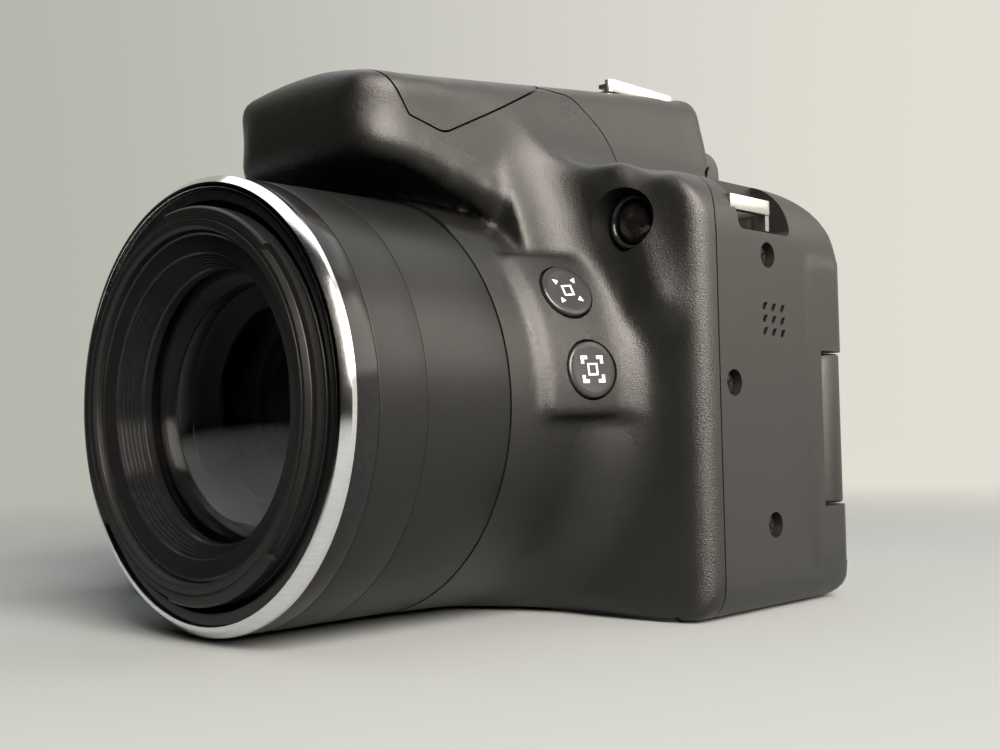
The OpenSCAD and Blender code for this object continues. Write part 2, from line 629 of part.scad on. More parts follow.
// Teeth: straight-sided, with some play. The cam ring's gear and the motor's gear share them.
function tooth(n, k, p, up, down) = let (a = 360 / n) [for (q = [[-0.36, -down], [-0.13, up], [0.13, up],
    [0.36, -down]]) (p + q[1]) * [cos(a * (k + q[0])), sin(a * (k + q[0]))]];
module gear_2d(n, p, up, down) polygon([for (k = [0:n - 1]) each tooth(n, k, p, up, down)]);
module cam_ring() color([0.3, 0.3, 0.3]) {
    turned([[cam_in, barrel_y + 0.8], [cam_r, barrel_y + 0.8], [cam_r, 8], [cam_in, 8]]);
    translate(lens) rotate([90, 0, 0]) translate([0, 0, -8]) linear_extrude(3.8) difference() {
        rotate(gear_a) gear_2d(ring_n, ring_p, 0.55, 0.75);
        circle(r = cam_r - 0.2);
    }
}
module drive_gear() color([0.85, 0.8, 0.6]) {
    translate(gear_at) rotate([90, 0, 0]) translate([0, 0, -7.8]) linear_extrude(3.4)
        rotate(gear_a + 180 / gear_n * (1 + gear_n % 2)) gear_2d(gear_n, gear_p, 0.55, 0.75);
    rod_y(1, [gear_at[0], gear_at[2]], 5, 14);
}
module zoom_motor() color([0.6, 0.6, 0.6]) difference() {
    rod_y(5, [gear_at[0], gear_at[2]], 8.6, plate_y);
    rod_y(1.05, [gear_at[0], gear_at[2]], 5, 14.2);
}
module middle_tube() color([0.07, 0.07, 0.07]) turned([[mid_in, mid_front],
    [mid_r, mid_front], [mid_r, mid_back], [mid_in, mid_back]]);
module front_tube() color([0.08, 0.08, 0.08]) difference() {
    turned([[front_in, rim_y + 0.5], [front_in + 0.5, rim_y], [rim_r - 0.3, rim_y], [rim_r, rim_y + 0.3],
        [rim_r, hood_y], [front_r, hood_y], [front_r, front_back], [front_in, front_back]]);
    // Bayonet steps for a hood or filter adapter
    for (a = [-20, 100, 220]) translate(lens) rotate([0, -a, 0]) rotate([-90, 0, 0])
        rotate_extrude(angle = 62) polygon([[rim_r - 0.9, rim_y - 1], [rim_r + 1, rim_y - 1],
            [rim_r + 1, rim_y + 1], [rim_r - 0.9, rim_y + 1]]);
}
name_r = front_in - 1.6;
step = (name_r - glass_r) / 5;
module name_ring() color([0.05, 0.05, 0.05]) turned(concat([[front_in, rim_y + 6.35],
    [front_in, rim_y + 1.15], [name_r, rim_y + 1.25]], [for (k = [0:4], j = [0, 1])
    [name_r - step * (k + j), rim_y + 1.45 + 0.7 * k]], [[glass_r, rim_y + 4.35], [glass_r, rim_y + 6.35]]));
module front_lens() color([0.3, 0.35, 0.4, 0.5]) intersection() {
    translate([lens_x, rim_y + 7.19 + sqrt(42 * 42 - glass_r * glass_r), lens_z]) sphere(r = 42);
    lens_rod(front_in - 0.05, rim_y + 2.75, rim_y + 13.75);
}

module rod_eyes(y0, y1) for (s = [-1, 1])
    rod_y(1.9, [lens_x + s * rod_off, lens_z], y0, y1);
module rod_holes() for (s = [-1, 1]) rod_y(rod_r + 0.06, [lens_x + s * rod_off, lens_z], -60, 40);
// A lens in its cell, dished on both faces, with an eye on each guide rod
module lens_group(y0, y1, r, dish) difference() {
    union() {
        turned([[0, y0 + dish], [r - 2, y0 + 0.4], [r - 2, y0], [r, y0], [r, y1], [r - 2, y1],
            [r - 2, y1 - 0.4], [0, y1 - dish]]);
        for (s = [-1, 1]) translate([lens_x + s * rod_off, 0, 0])
            box([-s * 3 - 3.4, y0, lens_z - 1.9], [-s * 3 + 3.4, y1, lens_z + 1.9]);
        rod_eyes(y0, y1);
    }
    rod_holes();
}
module zoom_lens_group() color([0.2, 0.22, 0.25]) lens_group(rim_y + 17.75, rim_y + 23.75, group_r, 2);
module stabiliser_lens() color([0.2, 0.22, 0.25]) lens_group(plate_y - 24, plate_y - 16.4, group_r, 2.4);
module focus_lens() color([0.2, 0.22, 0.25]) lens_group(plate_y - 12.4, plate_y - 8.6, group_r, 1.2);

module image_sensor() color([0.2, 0.3, 0.25]) {
    box([lens_x - 9, plate_y - 2.4, lens_z - 8], [lens_x + 9, plate_y, lens_z + 8]);
    box([lens_x - 4.5, plate_y - 4, lens_z - 3.6], [lens_x + 4.5, plate_y - 2, lens_z + 3.6]);
}
module main_board() color([0.1, 0.3, 0.15]) {
    box([grip_in + 3, plate_y + 3.6, 10], [hw - 13.25, plate_y + 5.2, shoulder_z - 8.5]);
    box([-6, plate_y + 5, 20], [8, plate_y + 6.6, 34]);
    box([20, plate_y + 5, 26], [30, plate_y + 6.6, 36]);
}
module battery() color([0.2, 0.2, 0.22]) box(cell_at, cell_at + cell);
module memory_card() color([0.1, 0.15, 0.3]) box(card_at, card_at + card);
module flash_capacitor() color([0.1, 0.1, 0.12]) rod_z(6.2, [grip_in + 8, plate_y - 6.25], 8, 42);

module eyepiece_frame() color([0.1, 0.1, 0.1]) difference() {
    union() {
        box([lens_x - 9.5, eye_y - 17.2, eye_z - 7], [lens_x + 9.5, eye_y, eye_z + 7]);
        translate([lens_x, 0, 0]) along_y(eye_y, eye_y + 1.2) outline(cup_px, 2.5);
    }
    box([lens_x - 8.2, eye_y - 26, eye_z - 5.7], [lens_x + 8.2, eye_y + 14, eye_z + 5.7]);
}
cup_px = [[-14, eye_z - 8.4, 5], [14, eye_z - 8.4, 5], [14, eye_z + 8.2, 5], [-14, eye_z + 8.2, 5]];
module eyecup() color([0.12, 0.12, 0.12]) translate([lens_x, 0, 0]) difference() {
    along_y(eye_y, cup_y) outline(cup_px);
    along_y(40, 60) outline(cup_px, 2.2);
    along_y(cup_y - 1, 60) outline(cup_px, 1.2);
}
module eyepiece_lens() color([0.6, 0.7, 0.8, 0.4]) box([lens_x - 8.15, eye_y - 4.2, eye_z - 5.65],
    [lens_x + 8.15, eye_y - 1.6, eye_z + 5.65]);
module evf_display() color([0.1, 0.12, 0.15]) box([lens_x - 8.15, eye_y - 17, eye_z - 5.65],
    [lens_x + 8.15, eye_y - 15.2, eye_z + 5.65]);

module flash_head() color([0.15, 0.15, 0.16]) {
    difference() {
        intersection() {
            hump_form();
            flash_zone(0);
        }
        intersection() {
            hump_form(2);
            flash_zone(1.6);
            box([lens_x - 36, nose_y + 5.4, 40], [lens_x + 44, flash_y - 3.8, 120]);
        }
        flash_opening(13.2, 5.6);
        box([lens_x - 3.3, flash_y - 1.6, 40], [lens_x + 3.3, flash_y + 6.2, 120]);
    }
    rod_x(0.6, [flash_y, flash_z], lens_x - 5, lens_x + 5);
}
module flash_opening(w, y1) translate([lens_x, nose_y + 9.8, deck_z - 10.9]) rotate([37, 0, 0])
    box([-w, -8.4, -1.6], [w, y1, 2.6]);
module flash_window() color([0.9, 0.9, 0.9, 0.5]) intersection() {
    flash_opening(13.1, 1.4);
    flash_zone(0.2);
    hump_form(0.5);
}
module diopter_dial() color([0.12, 0.12, 0.12]) {
    rod_x(4.2, diopter_at, lens_x + eye_w - 0.7, lens_x + eye_w + 1);
    rod_x(0.6, diopter_at, lens_x + eye_w - 5, lens_x + eye_w);
}

module lcd_arm() color([0.16, 0.16, 0.17]) {
    rod_z(hinge_r, [hinge_x, hinge_y], knuckle_z, knuckle_z + knuckle_h);
    rod_z(1.4, [hinge_x, hinge_y], knuckle_z - 2.5, knuckle_z + knuckle_h + 2.5);
    box([panel_x + 0.05, hinge_y - 1.9, knuckle_z + 2], [hinge_x, hinge_y + 2.4, knuckle_z + knuckle_h - 2]);
    rod_x(1.6, [hinge_y, knuckle_z + knuckle_h / 2], panel_x - 6, panel_x + 1);
}
module lcd_shell() color([0.15, 0.15, 0.16]) difference() {
    along_y(panel_y, body_rear) outline([[screen_x, screen_z, 2.5], [panel_x, screen_z, 2.5],
        [panel_x, screen_top, 2.5], [screen_x, screen_top, 2.5]]);
    box([screen_x + 3, body_rear - 1.2, screen_z + 2.6], [panel_x - 3, 60, screen_z + screen_h - 2.6]);
    rod_x(1.62, [hinge_y, knuckle_z + knuckle_h / 2], panel_x - 6.2, panel_x + 1);
}
module lcd_glass() color([0.05, 0.05, 0.06]) box([screen_x + 3.05, body_rear - 1.2, screen_z + 2.65],
    [panel_x - 3.05, body_rear - 0.1, screen_z + screen_h - 2.65]);

module shutter_button() color([0.5, 0.5, 0.5]) {
    translate([shutter_at[0], shutter_at[1], shoulder_z + 0.6]) round_cap(5.5, 4, 0.8);
    rod_z(2.5, shutter_at, shoulder_z - 5, shoulder_z + 1);
}
module zoom_lever() color([0.12, 0.12, 0.12]) difference() {
    union() {
        rod_z(9.2, shutter_at, shoulder_z + 0.9, shoulder_z + 3.6);
        translate([shutter_at[0], shutter_at[1], 0]) along_z(shoulder_z + 1, shoulder_z + 4.4)
            outline([[-4, -8, 0], [-3, -12.4, 1], [3, -12.4, 1], [4, -8, 0]]);
    }
    rod_z(6.2, shutter_at, shoulder_z - 4.5, shoulder_z + 25);
}
module mode_dial() color([0.13, 0.13, 0.13]) {
    translate([dial_at[0], dial_at[1], shoulder_z + 0.3]) along_z(0, 6.4) difference() {
        circle(r = dial_r);
        for (k = [0:35]) rotate(k * 10) translate([dial_r + 0.15, 0]) circle(r = 0.45, $fn = 6);
    }
    rod_z(2.8, dial_at, shoulder_z - 4.5, shoulder_z + 1);
}
module power_button() color([0.6, 0.6, 0.6]) {
    translate([power_at[0], power_at[1], shoulder_z - 1.8]) round_cap(power_r, 2.4);
    rod_z(1.5, power_at, shoulder_z - 5, shoulder_z - 1);
}
module rear_button(p, r, y) translate([p[0], y - 2.6, p[1]]) rotate([-90, 0, 0]) round_cap(r, 3.2);
function rear_at(z) = body_rear - 17 + sqrt(289 - pow(max(0, z - shoulder_z + 17), 2));
module movie_button() color([0.5, 0.1, 0.1]) rear_button(movie_at, 3.4, rear_at(movie_at[1]));
module playback_button() color([0.1, 0.1, 0.1]) rear_button(play_at, 2.8, rear_at(play_at[1]));
module menu_button() color([0.1, 0.1, 0.1]) rear_button(menu_at, 2.8, body_rear);
module display_button() color([0.1, 0.1, 0.1]) rear_button(disp_at, 2.8, body_rear);
module frame_button() color([0.1, 0.1, 0.1]) rear_button(frame_at, 2.8, body_rear);
module control_wheel() color([0.13, 0.13, 0.13]) translate([wheel_at[0], body_rear, wheel_at[1]])
    rotate([-90, 0, 0]) translate([0, 0, -3]) linear_extrude(4) difference() {
        circle(r = wheel_r);
        circle(r = 5.9);
        for (k = [0:29]) rotate(k * 12) translate([wheel_r + 0.1, 0]) circle(r = 0.45, $fn = 6);
    }
module set_button() color([0.1, 0.1, 0.1]) {
    translate([wheel_at[0], body_rear - 1.6, wheel_at[1]]) rotate([-90, 0, 0]) round_cap(5.5, 2.4);
    rod_y(3.8, wheel_at, body_rear - 5.4, body_rear - 1);
}

module battery_door() color([0.15, 0.15, 0.16]) {
    difference() {
        box([door_x0, door_y0, 0], [door_ax - 0.5, door_y1, plate_t]);
        for (k = [0:3]) box([door_x0 + 2 + k, -10, -1], [door_x0 + 2.5 + k, 4, 0.3]);
    }
    rod_y(0.9, [door_ax, door_az], door_y0, door_y1);
    box([door_ax - 1, door_y0, 0.3], [door_ax, door_y1, 1.7]);
    rod_y(0.5, [door_ax, door_az], door_y0 - 1.6, door_y1 + 1.6);
}
module port_door() color([0.14, 0.14, 0.15]) {
    box([-hw + 0.02, port_y0, port_z0], [-hw + 0.02 + port_t, port_y1, port_z1]);
    rod_z(port_t / 2, [port_ax, port_y1], port_z0, port_z1);
    rod_z(0.45, [port_ax, port_y1], port_z0 - 1.2, port_z1 + 1.2);
}

front_cover();
rear_cover();
top_cover();
base_plate();
grip_rubber();
thumb_rest();
lamp_lens();
hot_shoe_rails();
hot_shoe_base();
strap_lugs();
case_screws();
speaker();
tripod_socket();
chassis();
guide_rods();
outer_barrel();
hood_ring();
trim_ring();
image_sensor();
main_board();
zoom_motor();
battery();
memory_card();
flash_capacitor();
eyepiece_frame();
eyecup();
eyepiece_lens();
evf_display();
cam_ring();
drive_gear();
middle_tube();
front_tube();
name_ring();
front_lens();
zoom_lens_group();
stabiliser_lens();
focus_lens();
flash_head();
flash_window();
diopter_dial();
lcd_arm();
lcd_shell();
lcd_glass();
shutter_button();
zoom_lever();
mode_dial();
power_button();
seek_button();
lock_button();
movie_button();
playback_button();
menu_button();
display_button();
frame_button();
control_wheel();
set_button();
battery_door();
port_door();
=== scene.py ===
"""Bridge camera: the looks of the part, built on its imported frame. Sizes in the paths below are millimetres."""

import json
import math

import bmesh
import bpy
from bpy.props import FloatProperty, FloatVectorProperty, IntProperty, PointerProperty
from mathutils import Matrix, Vector


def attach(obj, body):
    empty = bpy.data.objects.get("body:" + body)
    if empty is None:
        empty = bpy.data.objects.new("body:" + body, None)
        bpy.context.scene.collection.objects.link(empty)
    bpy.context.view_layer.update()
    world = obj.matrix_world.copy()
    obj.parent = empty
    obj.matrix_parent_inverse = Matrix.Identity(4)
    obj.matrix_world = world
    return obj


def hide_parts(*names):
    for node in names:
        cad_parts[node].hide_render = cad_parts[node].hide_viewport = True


bl_info = {
    "name": "Bridge Camera",
    "version": (1, 0, 0),
    "blender": (4, 5, 0),
    "location": "View3D > Sidebar > Camera",
    "description": "Builds a bridge camera piece by piece on its packed frame",
    "category": "Object",
}

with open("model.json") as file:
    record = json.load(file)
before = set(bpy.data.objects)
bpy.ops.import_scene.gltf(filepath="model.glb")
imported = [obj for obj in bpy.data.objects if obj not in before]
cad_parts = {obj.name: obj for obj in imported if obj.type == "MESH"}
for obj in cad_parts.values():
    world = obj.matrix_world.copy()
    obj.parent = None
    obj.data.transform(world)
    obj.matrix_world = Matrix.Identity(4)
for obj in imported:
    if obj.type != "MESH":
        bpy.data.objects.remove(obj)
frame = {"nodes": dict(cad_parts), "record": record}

MM = 0.001
TURN = {
    "x": Matrix(((0, 0, 1, 0), (1, 0, 0, 0), (0, 1, 0, 0), (0, 0, 0, 1))),
    "y": Matrix(((1, 0, 0, 0), (0, 0, 1, 0), (0, 1, 0, 0), (0, 0, 0, 1))),
    "z": Matrix.Identity(4),
}
# Rows of a turned piece's own axes: its third axis points out of the body
AIM = {
    "+x": ((0, 0, 1), (1, 0, 0), (0, 1, 0)),
    "-x": ((0, 0, -1), (0, 1, 0), (1, 0, 0)),
    "+y": ((1, 0, 0), (0, 0, 1), (0, -1, 0)),
    "-y": ((1, 0, 0), (0, 0, -1), (0, 1, 0)),
    "+z": ((1, 0, 0), (0, 1, 0), (0, 0, 1)),
    "-z": ((1, 0, 0), (0, -1, 0), (0, 0, -1)),
}
HW, SHOULDER, FRONT, REAR = 61.25, 64.5, -2.5, 40.5
LX, LZ, NOSE, DECK, DECK_Y, EYE = 15.8, 31.4, -35.4, 85.1, 47.4, 70.5


def spot(aim, x, y, z, tilt=0.0):
    """Place of a turned piece, in millimetres, leaning by tilt degrees about its first axis."""
    return (
        Matrix.Translation((x * MM, y * MM, z * MM))
        @ Matrix(AIM[aim]).to_4x4()
        @ Matrix.Rotation(math.radians(tilt), 4, "X")
    )


LENS = spot("+y", LX, 0, LZ)


def radial(y, angle, radius):
    """Place on the lens base, pointing away from the lens axis."""
    c, s = math.cos(math.radians(angle)), math.sin(math.radians(angle))
    turn = Matrix(((0, -s, c), (1, 0, 0), (0, c, s))).to_4x4()
    return Matrix.Translation(((LX + radius * c) * MM, y * MM, (LZ + radius * s) * MM)) @ turn


def put(name, bm):
    """New object from a bmesh, with its normals outward."""
    bmesh.ops.recalc_face_normals(bm, faces=bm.faces)
    mesh = bpy.data.meshes.new(name)
    bm.to_mesh(mesh)
    bm.free()
    obj = bpy.data.objects.new(name, mesh)
    bpy.context.scene.collection.objects.link(obj)
    return obj


def settle(obj):
    """Bakes the modifiers of an object into its mesh."""
    graph = bpy.context.evaluated_depsgraph_get()
    mesh = bpy.data.meshes.new_from_object(obj.evaluated_get(graph))
    obj.modifiers.clear()
    old, obj.data = obj.data, mesh
    bpy.data.meshes.remove(old)
    return obj


def unite(obj, *tools):
    """Joins an object with tools."""
    return carve(obj, *tools, operation="UNION")


def common(obj, *tools):
    """Keeps what an object shares with each of its tools."""
    return carve(obj, *tools, operation="INTERSECT")


def carve(obj, *tools, operation="DIFFERENCE", keep=False):
    """Cuts, joins or crosses an object with tools, which are used up unless kept."""
    if operation == "DIFFERENCE" and len(tools) > 1:
        tools = (unite(tools[0], *tools[1:]),)
    for tool in tools:
        step = obj.modifiers.new("carve", "BOOLEAN")
        step.operation, step.solver, step.object = operation, "MANIFOLD", tool
    settle(obj)
    if not keep:
        for tool in tools:
            bpy.data.objects.remove(tool)
    return obj


def copy(obj, name):
    """A second object with its own mesh."""
    twin = bpy.data.objects.new(name, obj.data.copy())
    bpy.context.scene.collection.objects.link(twin)
    return twin


def joined(name, objs):
    """One object from several closed ones."""
    bm = bmesh.new()
    for obj in objs:
        bm.from_mesh(obj.data)
        bpy.data.objects.remove(obj)
    return put(name, bm)


def round_corner(bm, vert, radius, segments=8):
    """Rounds one corner of a flat outline to an arc."""
    u, v = [(e.other_vert(vert).co - vert.co).normalized() for e in vert.link_edges]
    half = u.angle(v) / 2
    bmesh.ops.bevel(
        bm, geom=[vert], offset=radius * MM / math.tan(half), offset_type="ABSOLUTE", segments=segments,
        profile=0.5, affect="VERTICES", clamp_overlap=False, material=-1,
    )


def outline(bm, path, segments):
    """Vertices of a flat face on a path, with its corners rounded."""
    corners = [bm.verts.new(at) for at, _ in path]
    bm.faces.new(corners)
    for vert, (_, radius) in zip(corners, path):
        if radius > 0:
            round_corner(bm, vert, radius, segments)


def extrude(bm, faces, rise):
    """Draws faces along the third axis."""
    grown = bmesh.ops.extrude_face_region(bm, geom=faces)["geom"]
    tops = [v for v in grown if isinstance(v, bmesh.types.BMVert)]
    bmesh.ops.translate(bm, verts=tops, vec=(0, 0, rise * MM))


def inset(path, d):
    """The same outline moved inward by d, with its corner radii kept concentric."""
    moved = []
    for i, (bx, by, radius) in enumerate(path):
        a, b, c = Vector(path[i - 1][:2]), Vector((bx, by)), Vector(path[(i + 1) % len(path)][:2])
        u, v = (b - a).normalized(), (c - b).normalized()
        n, m = Vector((-u.y, u.x)), Vector((-v.y, v.x))
        p = b + (n + m) * d / (1 + n.dot(m))
        moved.append((p.x, p.y, max(0.0, radius - math.copysign(d, u.cross(v)))))
    return moved


def prism(path, axis, start, stop, d=0.0, segments=8):
    """A rounded outline drawn along an axis."""
    bm = bmesh.new()
    path = inset(path, d) if d else path
    outline(bm, [((a * MM, b * MM, start * MM), radius) for a, b, radius in path], segments)
    extrude(bm, bm.faces[:], stop - start)
    bmesh.ops.transform(bm, matrix=TURN[axis], verts=bm.verts)
    return put("prism", bm)


def box(low, high, bevel=0.0, name="box"):
    """A block between two corners, its edges rounded by bevel."""
    bm = bmesh.new()
    bmesh.ops.create_cube(bm, size=MM)
    bmesh.ops.scale(bm, vec=[b - a for a, b in zip(low, high)], verts=bm.verts)
    bmesh.ops.translate(bm, vec=[(a + b) / 2 * MM for a, b in zip(low, high)], verts=bm.verts)
    if bevel:
        soften(bm, bevel)
    return put(name, bm)


def soften(bm, width):
    """Rounds all edges of a bmesh."""
    bmesh.ops.bevel(
        bm, geom=bm.edges[:], offset=width * MM, offset_type="OFFSET", segments=3, profile=0.5, affect="EDGES",
        clamp_overlap=True, material=-1,
    )


def rod(axis, radius, at, start, stop, steps=48):
    """A round bar."""
    bm = bmesh.new()
    bmesh.ops.create_cone(
        bm, cap_ends=True, segments=steps, radius1=radius * MM, radius2=radius * MM, depth=(stop - start) * MM,
    )
    bmesh.ops.translate(bm, verts=bm.verts, vec=(at[0] * MM, at[1] * MM, (start + stop) / 2 * MM))
    bmesh.ops.transform(bm, matrix=TURN[axis], verts=bm.verts)
    return put("rod", bm)


def lathe(name, profile, place=LENS, steps=128, segments=4):
    """A closed profile of (radius, along, corner radius) turned about the place's third axis."""
    bm = bmesh.new()
    outline(bm, [((r * MM, 0, z * MM), radius) for r, z, radius in profile], segments)
    bmesh.ops.delete(bm, geom=bm.faces[:], context="FACES_ONLY")
    inner = [e for e in bm.edges if max(abs(v.co.x) for v in e.verts) < 1e-9]
    bmesh.ops.delete(bm, geom=inner, context="EDGES")
    bmesh.ops.spin(
        bm, geom=bm.verts[:] + bm.edges[:], cent=(0, 0, 0), axis=(0, 0, 1), dvec=(0, 0, 0), angle=math.tau,
        steps=steps, use_merge=True,
    )
    bmesh.ops.remove_doubles(bm, verts=bm.verts, dist=1e-7)
    bmesh.ops.transform(bm, matrix=place, verts=bm.verts)
    return put(name, bm)


def plates(name, shapes, place, low, high):
    """Flat shapes, each a list of (across, up), as thin plates standing on a place."""
    bm = bmesh.new()
    for shape in shapes:
        face = bm.faces.new([bm.verts.new((a * MM, b * MM, low * MM)) for a, b in shape])
        extrude(bm, [face], high - low)
    bmesh.ops.transform(bm, matrix=place, verts=bm.verts)
    return put(name, bm)


def show(obj, name, body, slot, *nodes, angle=38.0):
    """Names a finished piece, shades and paints it, and puts it on its body in place of its nodes."""
    obj.name = obj.data.name = name
    mesh = obj.data
    mesh.shade_smooth()
    mesh.set_sharp_from_angle(angle=math.radians(angle))
    mesh.materials.clear()
    mesh.materials.append(finish(slot))
    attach(obj, body)
    if nodes:
        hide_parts(*nodes)
    return obj


# Finish of each slot: colour, roughness, metal, grain per metre, grain depth, spread of the tone
FINISH = {
    "grained_plastic": ((0.0075, 0.0073, 0.0068), 0.29, 0.0, 5200, 0.75, 0.30),
    "matte_plastic": ((0.010, 0.0097, 0.0090), 0.40, 0.0, 5600, 0.50, 0.22),
    "base_plastic": ((0.014, 0.014, 0.014), 0.50, 0.0, 2600, 0.40, 0.25),
    "black_plastic": ((0.020, 0.020, 0.021), 0.42, 0.0, 3600, 0.20, 0.22),
    "rubber": ((0.018, 0.018, 0.019), 0.72, 0.0, 1300, 0.80, 0.30),
    "eyecup_rubber": ((0.030, 0.030, 0.031), 0.66, 0.0, 2600, 0.30, 0.25),
    "lamp_red": ((0.008, 0.0065, 0.0065), 0.06, 0.0, 300, 0.02, 0.30),
    "bright_metal": ((0.60, 0.59, 0.56), 0.30, 1.0, 900, 0.05, 0.10),
    "dark_metal": ((0.055, 0.055, 0.058), 0.36, 0.8, 1400, 0.10, 0.20),
    "steel": ((0.52, 0.52, 0.53), 0.30, 1.0, 1100, 0.08, 0.14),
    "cast_metal": ((0.40, 0.40, 0.41), 0.45, 1.0, 700, 0.20, 0.18),
    "satin_black": ((0.008, 0.008, 0.008), 0.36, 0.0, 3800, 0.10, 0.18),
    "gloss_black": ((0.009, 0.009, 0.0095), 0.16, 0.0, 900, 0.02, 0.20),
    "chrome": ((0.82, 0.82, 0.83), 0.13, 1.0, 500, 0.02, 0.06),
    "sensor": ((0.06, 0.11, 0.09), 0.12, 0.0, 500, 0.02, 0.30),
    "board": ((0.02, 0.10, 0.045), 0.35, 0.0, 600, 0.10, 0.35),
    "battery_case": ((0.05, 0.05, 0.055), 0.45, 0.0, 2000, 0.20, 0.20),
    "card_blue": ((0.03, 0.05, 0.16), 0.40, 0.0, 1800, 0.15, 0.20),
    "gear_white": ((0.72, 0.70, 0.62), 0.42, 0.0, 1500, 0.10, 0.12),
    "lens_cell": ((0.020, 0.022, 0.030), 0.10, 0.0, 400, 0.02, 0.30),
    "screen_glass": ((0.008, 0.008, 0.010), 0.07, 0.0, 200, 0.01, 0.30),
    "button_metal": ((0.16, 0.16, 0.165), 0.28, 0.9, 1600, 0.08, 0.15),
    "button_black": ((0.014, 0.014, 0.0145), 0.30, 0.0, 2800, 0.12, 0.20),
    "movie_red": ((0.16, 0.012, 0.012), 0.32, 0.0, 1800, 0.10, 0.20),
    "frosted": ((0.58, 0.60, 0.58), 0.22, 0.0, 1400, 0.35, 0.10),
    "mark_white": ((0.80, 0.80, 0.78), 0.50, 0.0, 1500, 0.05, 0.08),
}
GLASS = {
    "clear_glass": ((0.92, 0.95, 0.96), 0.01, 1.0),
    "front_glass": ((0.70, 0.74, 0.80), 0.004, 1.0),
}
# Share of the reflections that a slot keeps
SHEEN = {"satin_black": 0.55, "gloss_black": 0.5}
# Handling wear: blotches per metre, and the range of roughness that they give
WEAR_SCALE, WEAR = 55, (0.88, 1.14)
GRAIN_HEIGHT = 0.00012


def node(tree, kind, **values):
    """A new shader node with its properties and sockets set."""
    return fill(tree.nodes.new("ShaderNode" + kind), **values)


def fill(made, **values):
    """Sets properties and sockets of a shader node."""
    for key, value in values.items():
        if hasattr(made, key):
            setattr(made, key, value)
        else:
            made.inputs[key.replace("_", " ")].default_value = value
    return made


def noise(tree, scale, detail=2.0, stretch=None):
    """Noise on object coordinates, stretched along its axes where asked."""
    where = node(tree, "TexCoord")
    grain = node(tree, "TexNoise", Scale=scale, Detail=detail, Roughness=0.6)
    if stretch:
        bent = node(tree, "Mapping", Scale=stretch)
        tree.links.new(where.outputs["Object"], bent.inputs["Vector"])
        tree.links.new(bent.outputs["Vector"], grain.inputs["Vector"])
    else:
        tree.links.new(where.outputs["Object"], grain.inputs["Vector"])
    return grain.outputs["Fac"]


def spread(tree, source, low, high):
    """Maps the middle of a noise onto a range."""
    ranged = node(tree, "MapRange", From_Min=0.3, From_Max=0.7, To_Min=low, To_Max=high)
    tree.links.new(source, ranged.inputs["Value"])
    return ranged.outputs["Result"]


def finish(slot):
    """The material of a slot."""
    name = "finish_" + slot
    if name in bpy.data.materials:
        return bpy.data.materials[name]
    mat = bpy.data.materials.new(name)
    mat.use_nodes = True
    tree = mat.node_tree
    tree.nodes.clear()
    link = tree.links.new
    out, shader = node(tree, "OutputMaterial"), node(tree, "BsdfPrincipled")
    link(shader.outputs["BSDF"], out.inputs["Surface"])
    settings = bpy.context.scene.camera_finish
    if slot in GLASS:
        tone, rough, clear = GLASS[slot]
        fill(shader, Base_Color=(*tone, 1), Transmission_Weight=clear, IOR=1.5, Coat_Weight=0.3, Coat_Roughness=0.03)
        link(spread(tree, noise(tree, 90), rough * 0.6, rough * 1.6), shader.inputs["Roughness"])
        return mat
    tone, rough, metal, grain, depth, vary = FINISH[slot]
    fill(shader, Metallic=metal, Specular_IOR_Level=settings.gloss * SHEEN.get(slot, 1.0))
    blend = node(tree, "Mix", data_type="RGBA")
    blend.inputs["A"].default_value = (*[c * (1 - vary) for c in tone], 1)
    blend.inputs["B"].default_value = (*[min(1, c * (1 + vary)) for c in tone], 1)
    fine = noise(tree, grain, 3.0, (1, 1, 6) if metal > 0.95 and slot != "cast_metal" else None)
    link(spread(tree, fine, 0, 1), blend.inputs["Factor"])
    colour = [s for s in blend.outputs if s.type == "RGBA"][0]
    link(colour, shader.inputs["Base Color"])
    worn = noise(tree, WEAR_SCALE, 4.0)
    link(spread(tree, worn, rough * WEAR[0], rough * WEAR[1]), shader.inputs["Roughness"])
    bump = node(tree, "Bump", Strength=depth * settings.grain_depth, Distance=GRAIN_HEIGHT)
    link(fine, bump.inputs["Height"])
    link(bump.outputs["Normal"], shader.inputs["Normal"])
    return mat


# Outlines of the outer forms, as (across, up, corner radius), counter-clockwise
BODY_FRONT = [(-HW, 0, 5), (HW, 0, 4.5), (HW, SHOULDER, 9), (-HW, SHOULDER, 9)]
BODY_SIDE = [(FRONT, 0, 4), (REAR, 0, 4), (REAR, SHOULDER, 17), (FRONT, SHOULDER, 7)]
BODY_PLAN = [(-HW, FRONT, 4), (44, FRONT, 8), (HW, FRONT + 3.5, 3.5), (HW, REAR, 2.5), (-HW, REAR, 8)]
GRIP_PLAN = [(-HW, -15, 5), (-42, -26, 8), (-33, -28, 8), (-26, 0, 6), (-26, 12, 0), (-HW, 12, 0)]
GRIP_SIDE = [(-28, 0, 8), (12, 0, 0), (12, SHOULDER, 0), (-28, SHOULDER, 9)]
GRIP_FRONT = [(-HW, 0, 5), (-26, 0, 4), (-26, SHOULDER, 5), (-HW, SHOULDER, 9)]
HUMP_SIDE = [
    (NOSE + 0.5, 66, 2.5), (-26, 64.3, 10), (-12, 59.5, 3), (-10, 46, 0), (36, 46, 0), (DECK_Y - 3, DECK, 0),
    (12, DECK, 12), (NOSE, DECK - 5.6, 6.5),
]
HUMP_FRONT = [
    (-33, 46, 0), (33, 46, 0), (33, 61.5, 0), (20.9, 69, 11), (15, 86, 6), (-15, 86, 6), (-20.9, 69, 11),
    (-33, 61.5, 0),
]
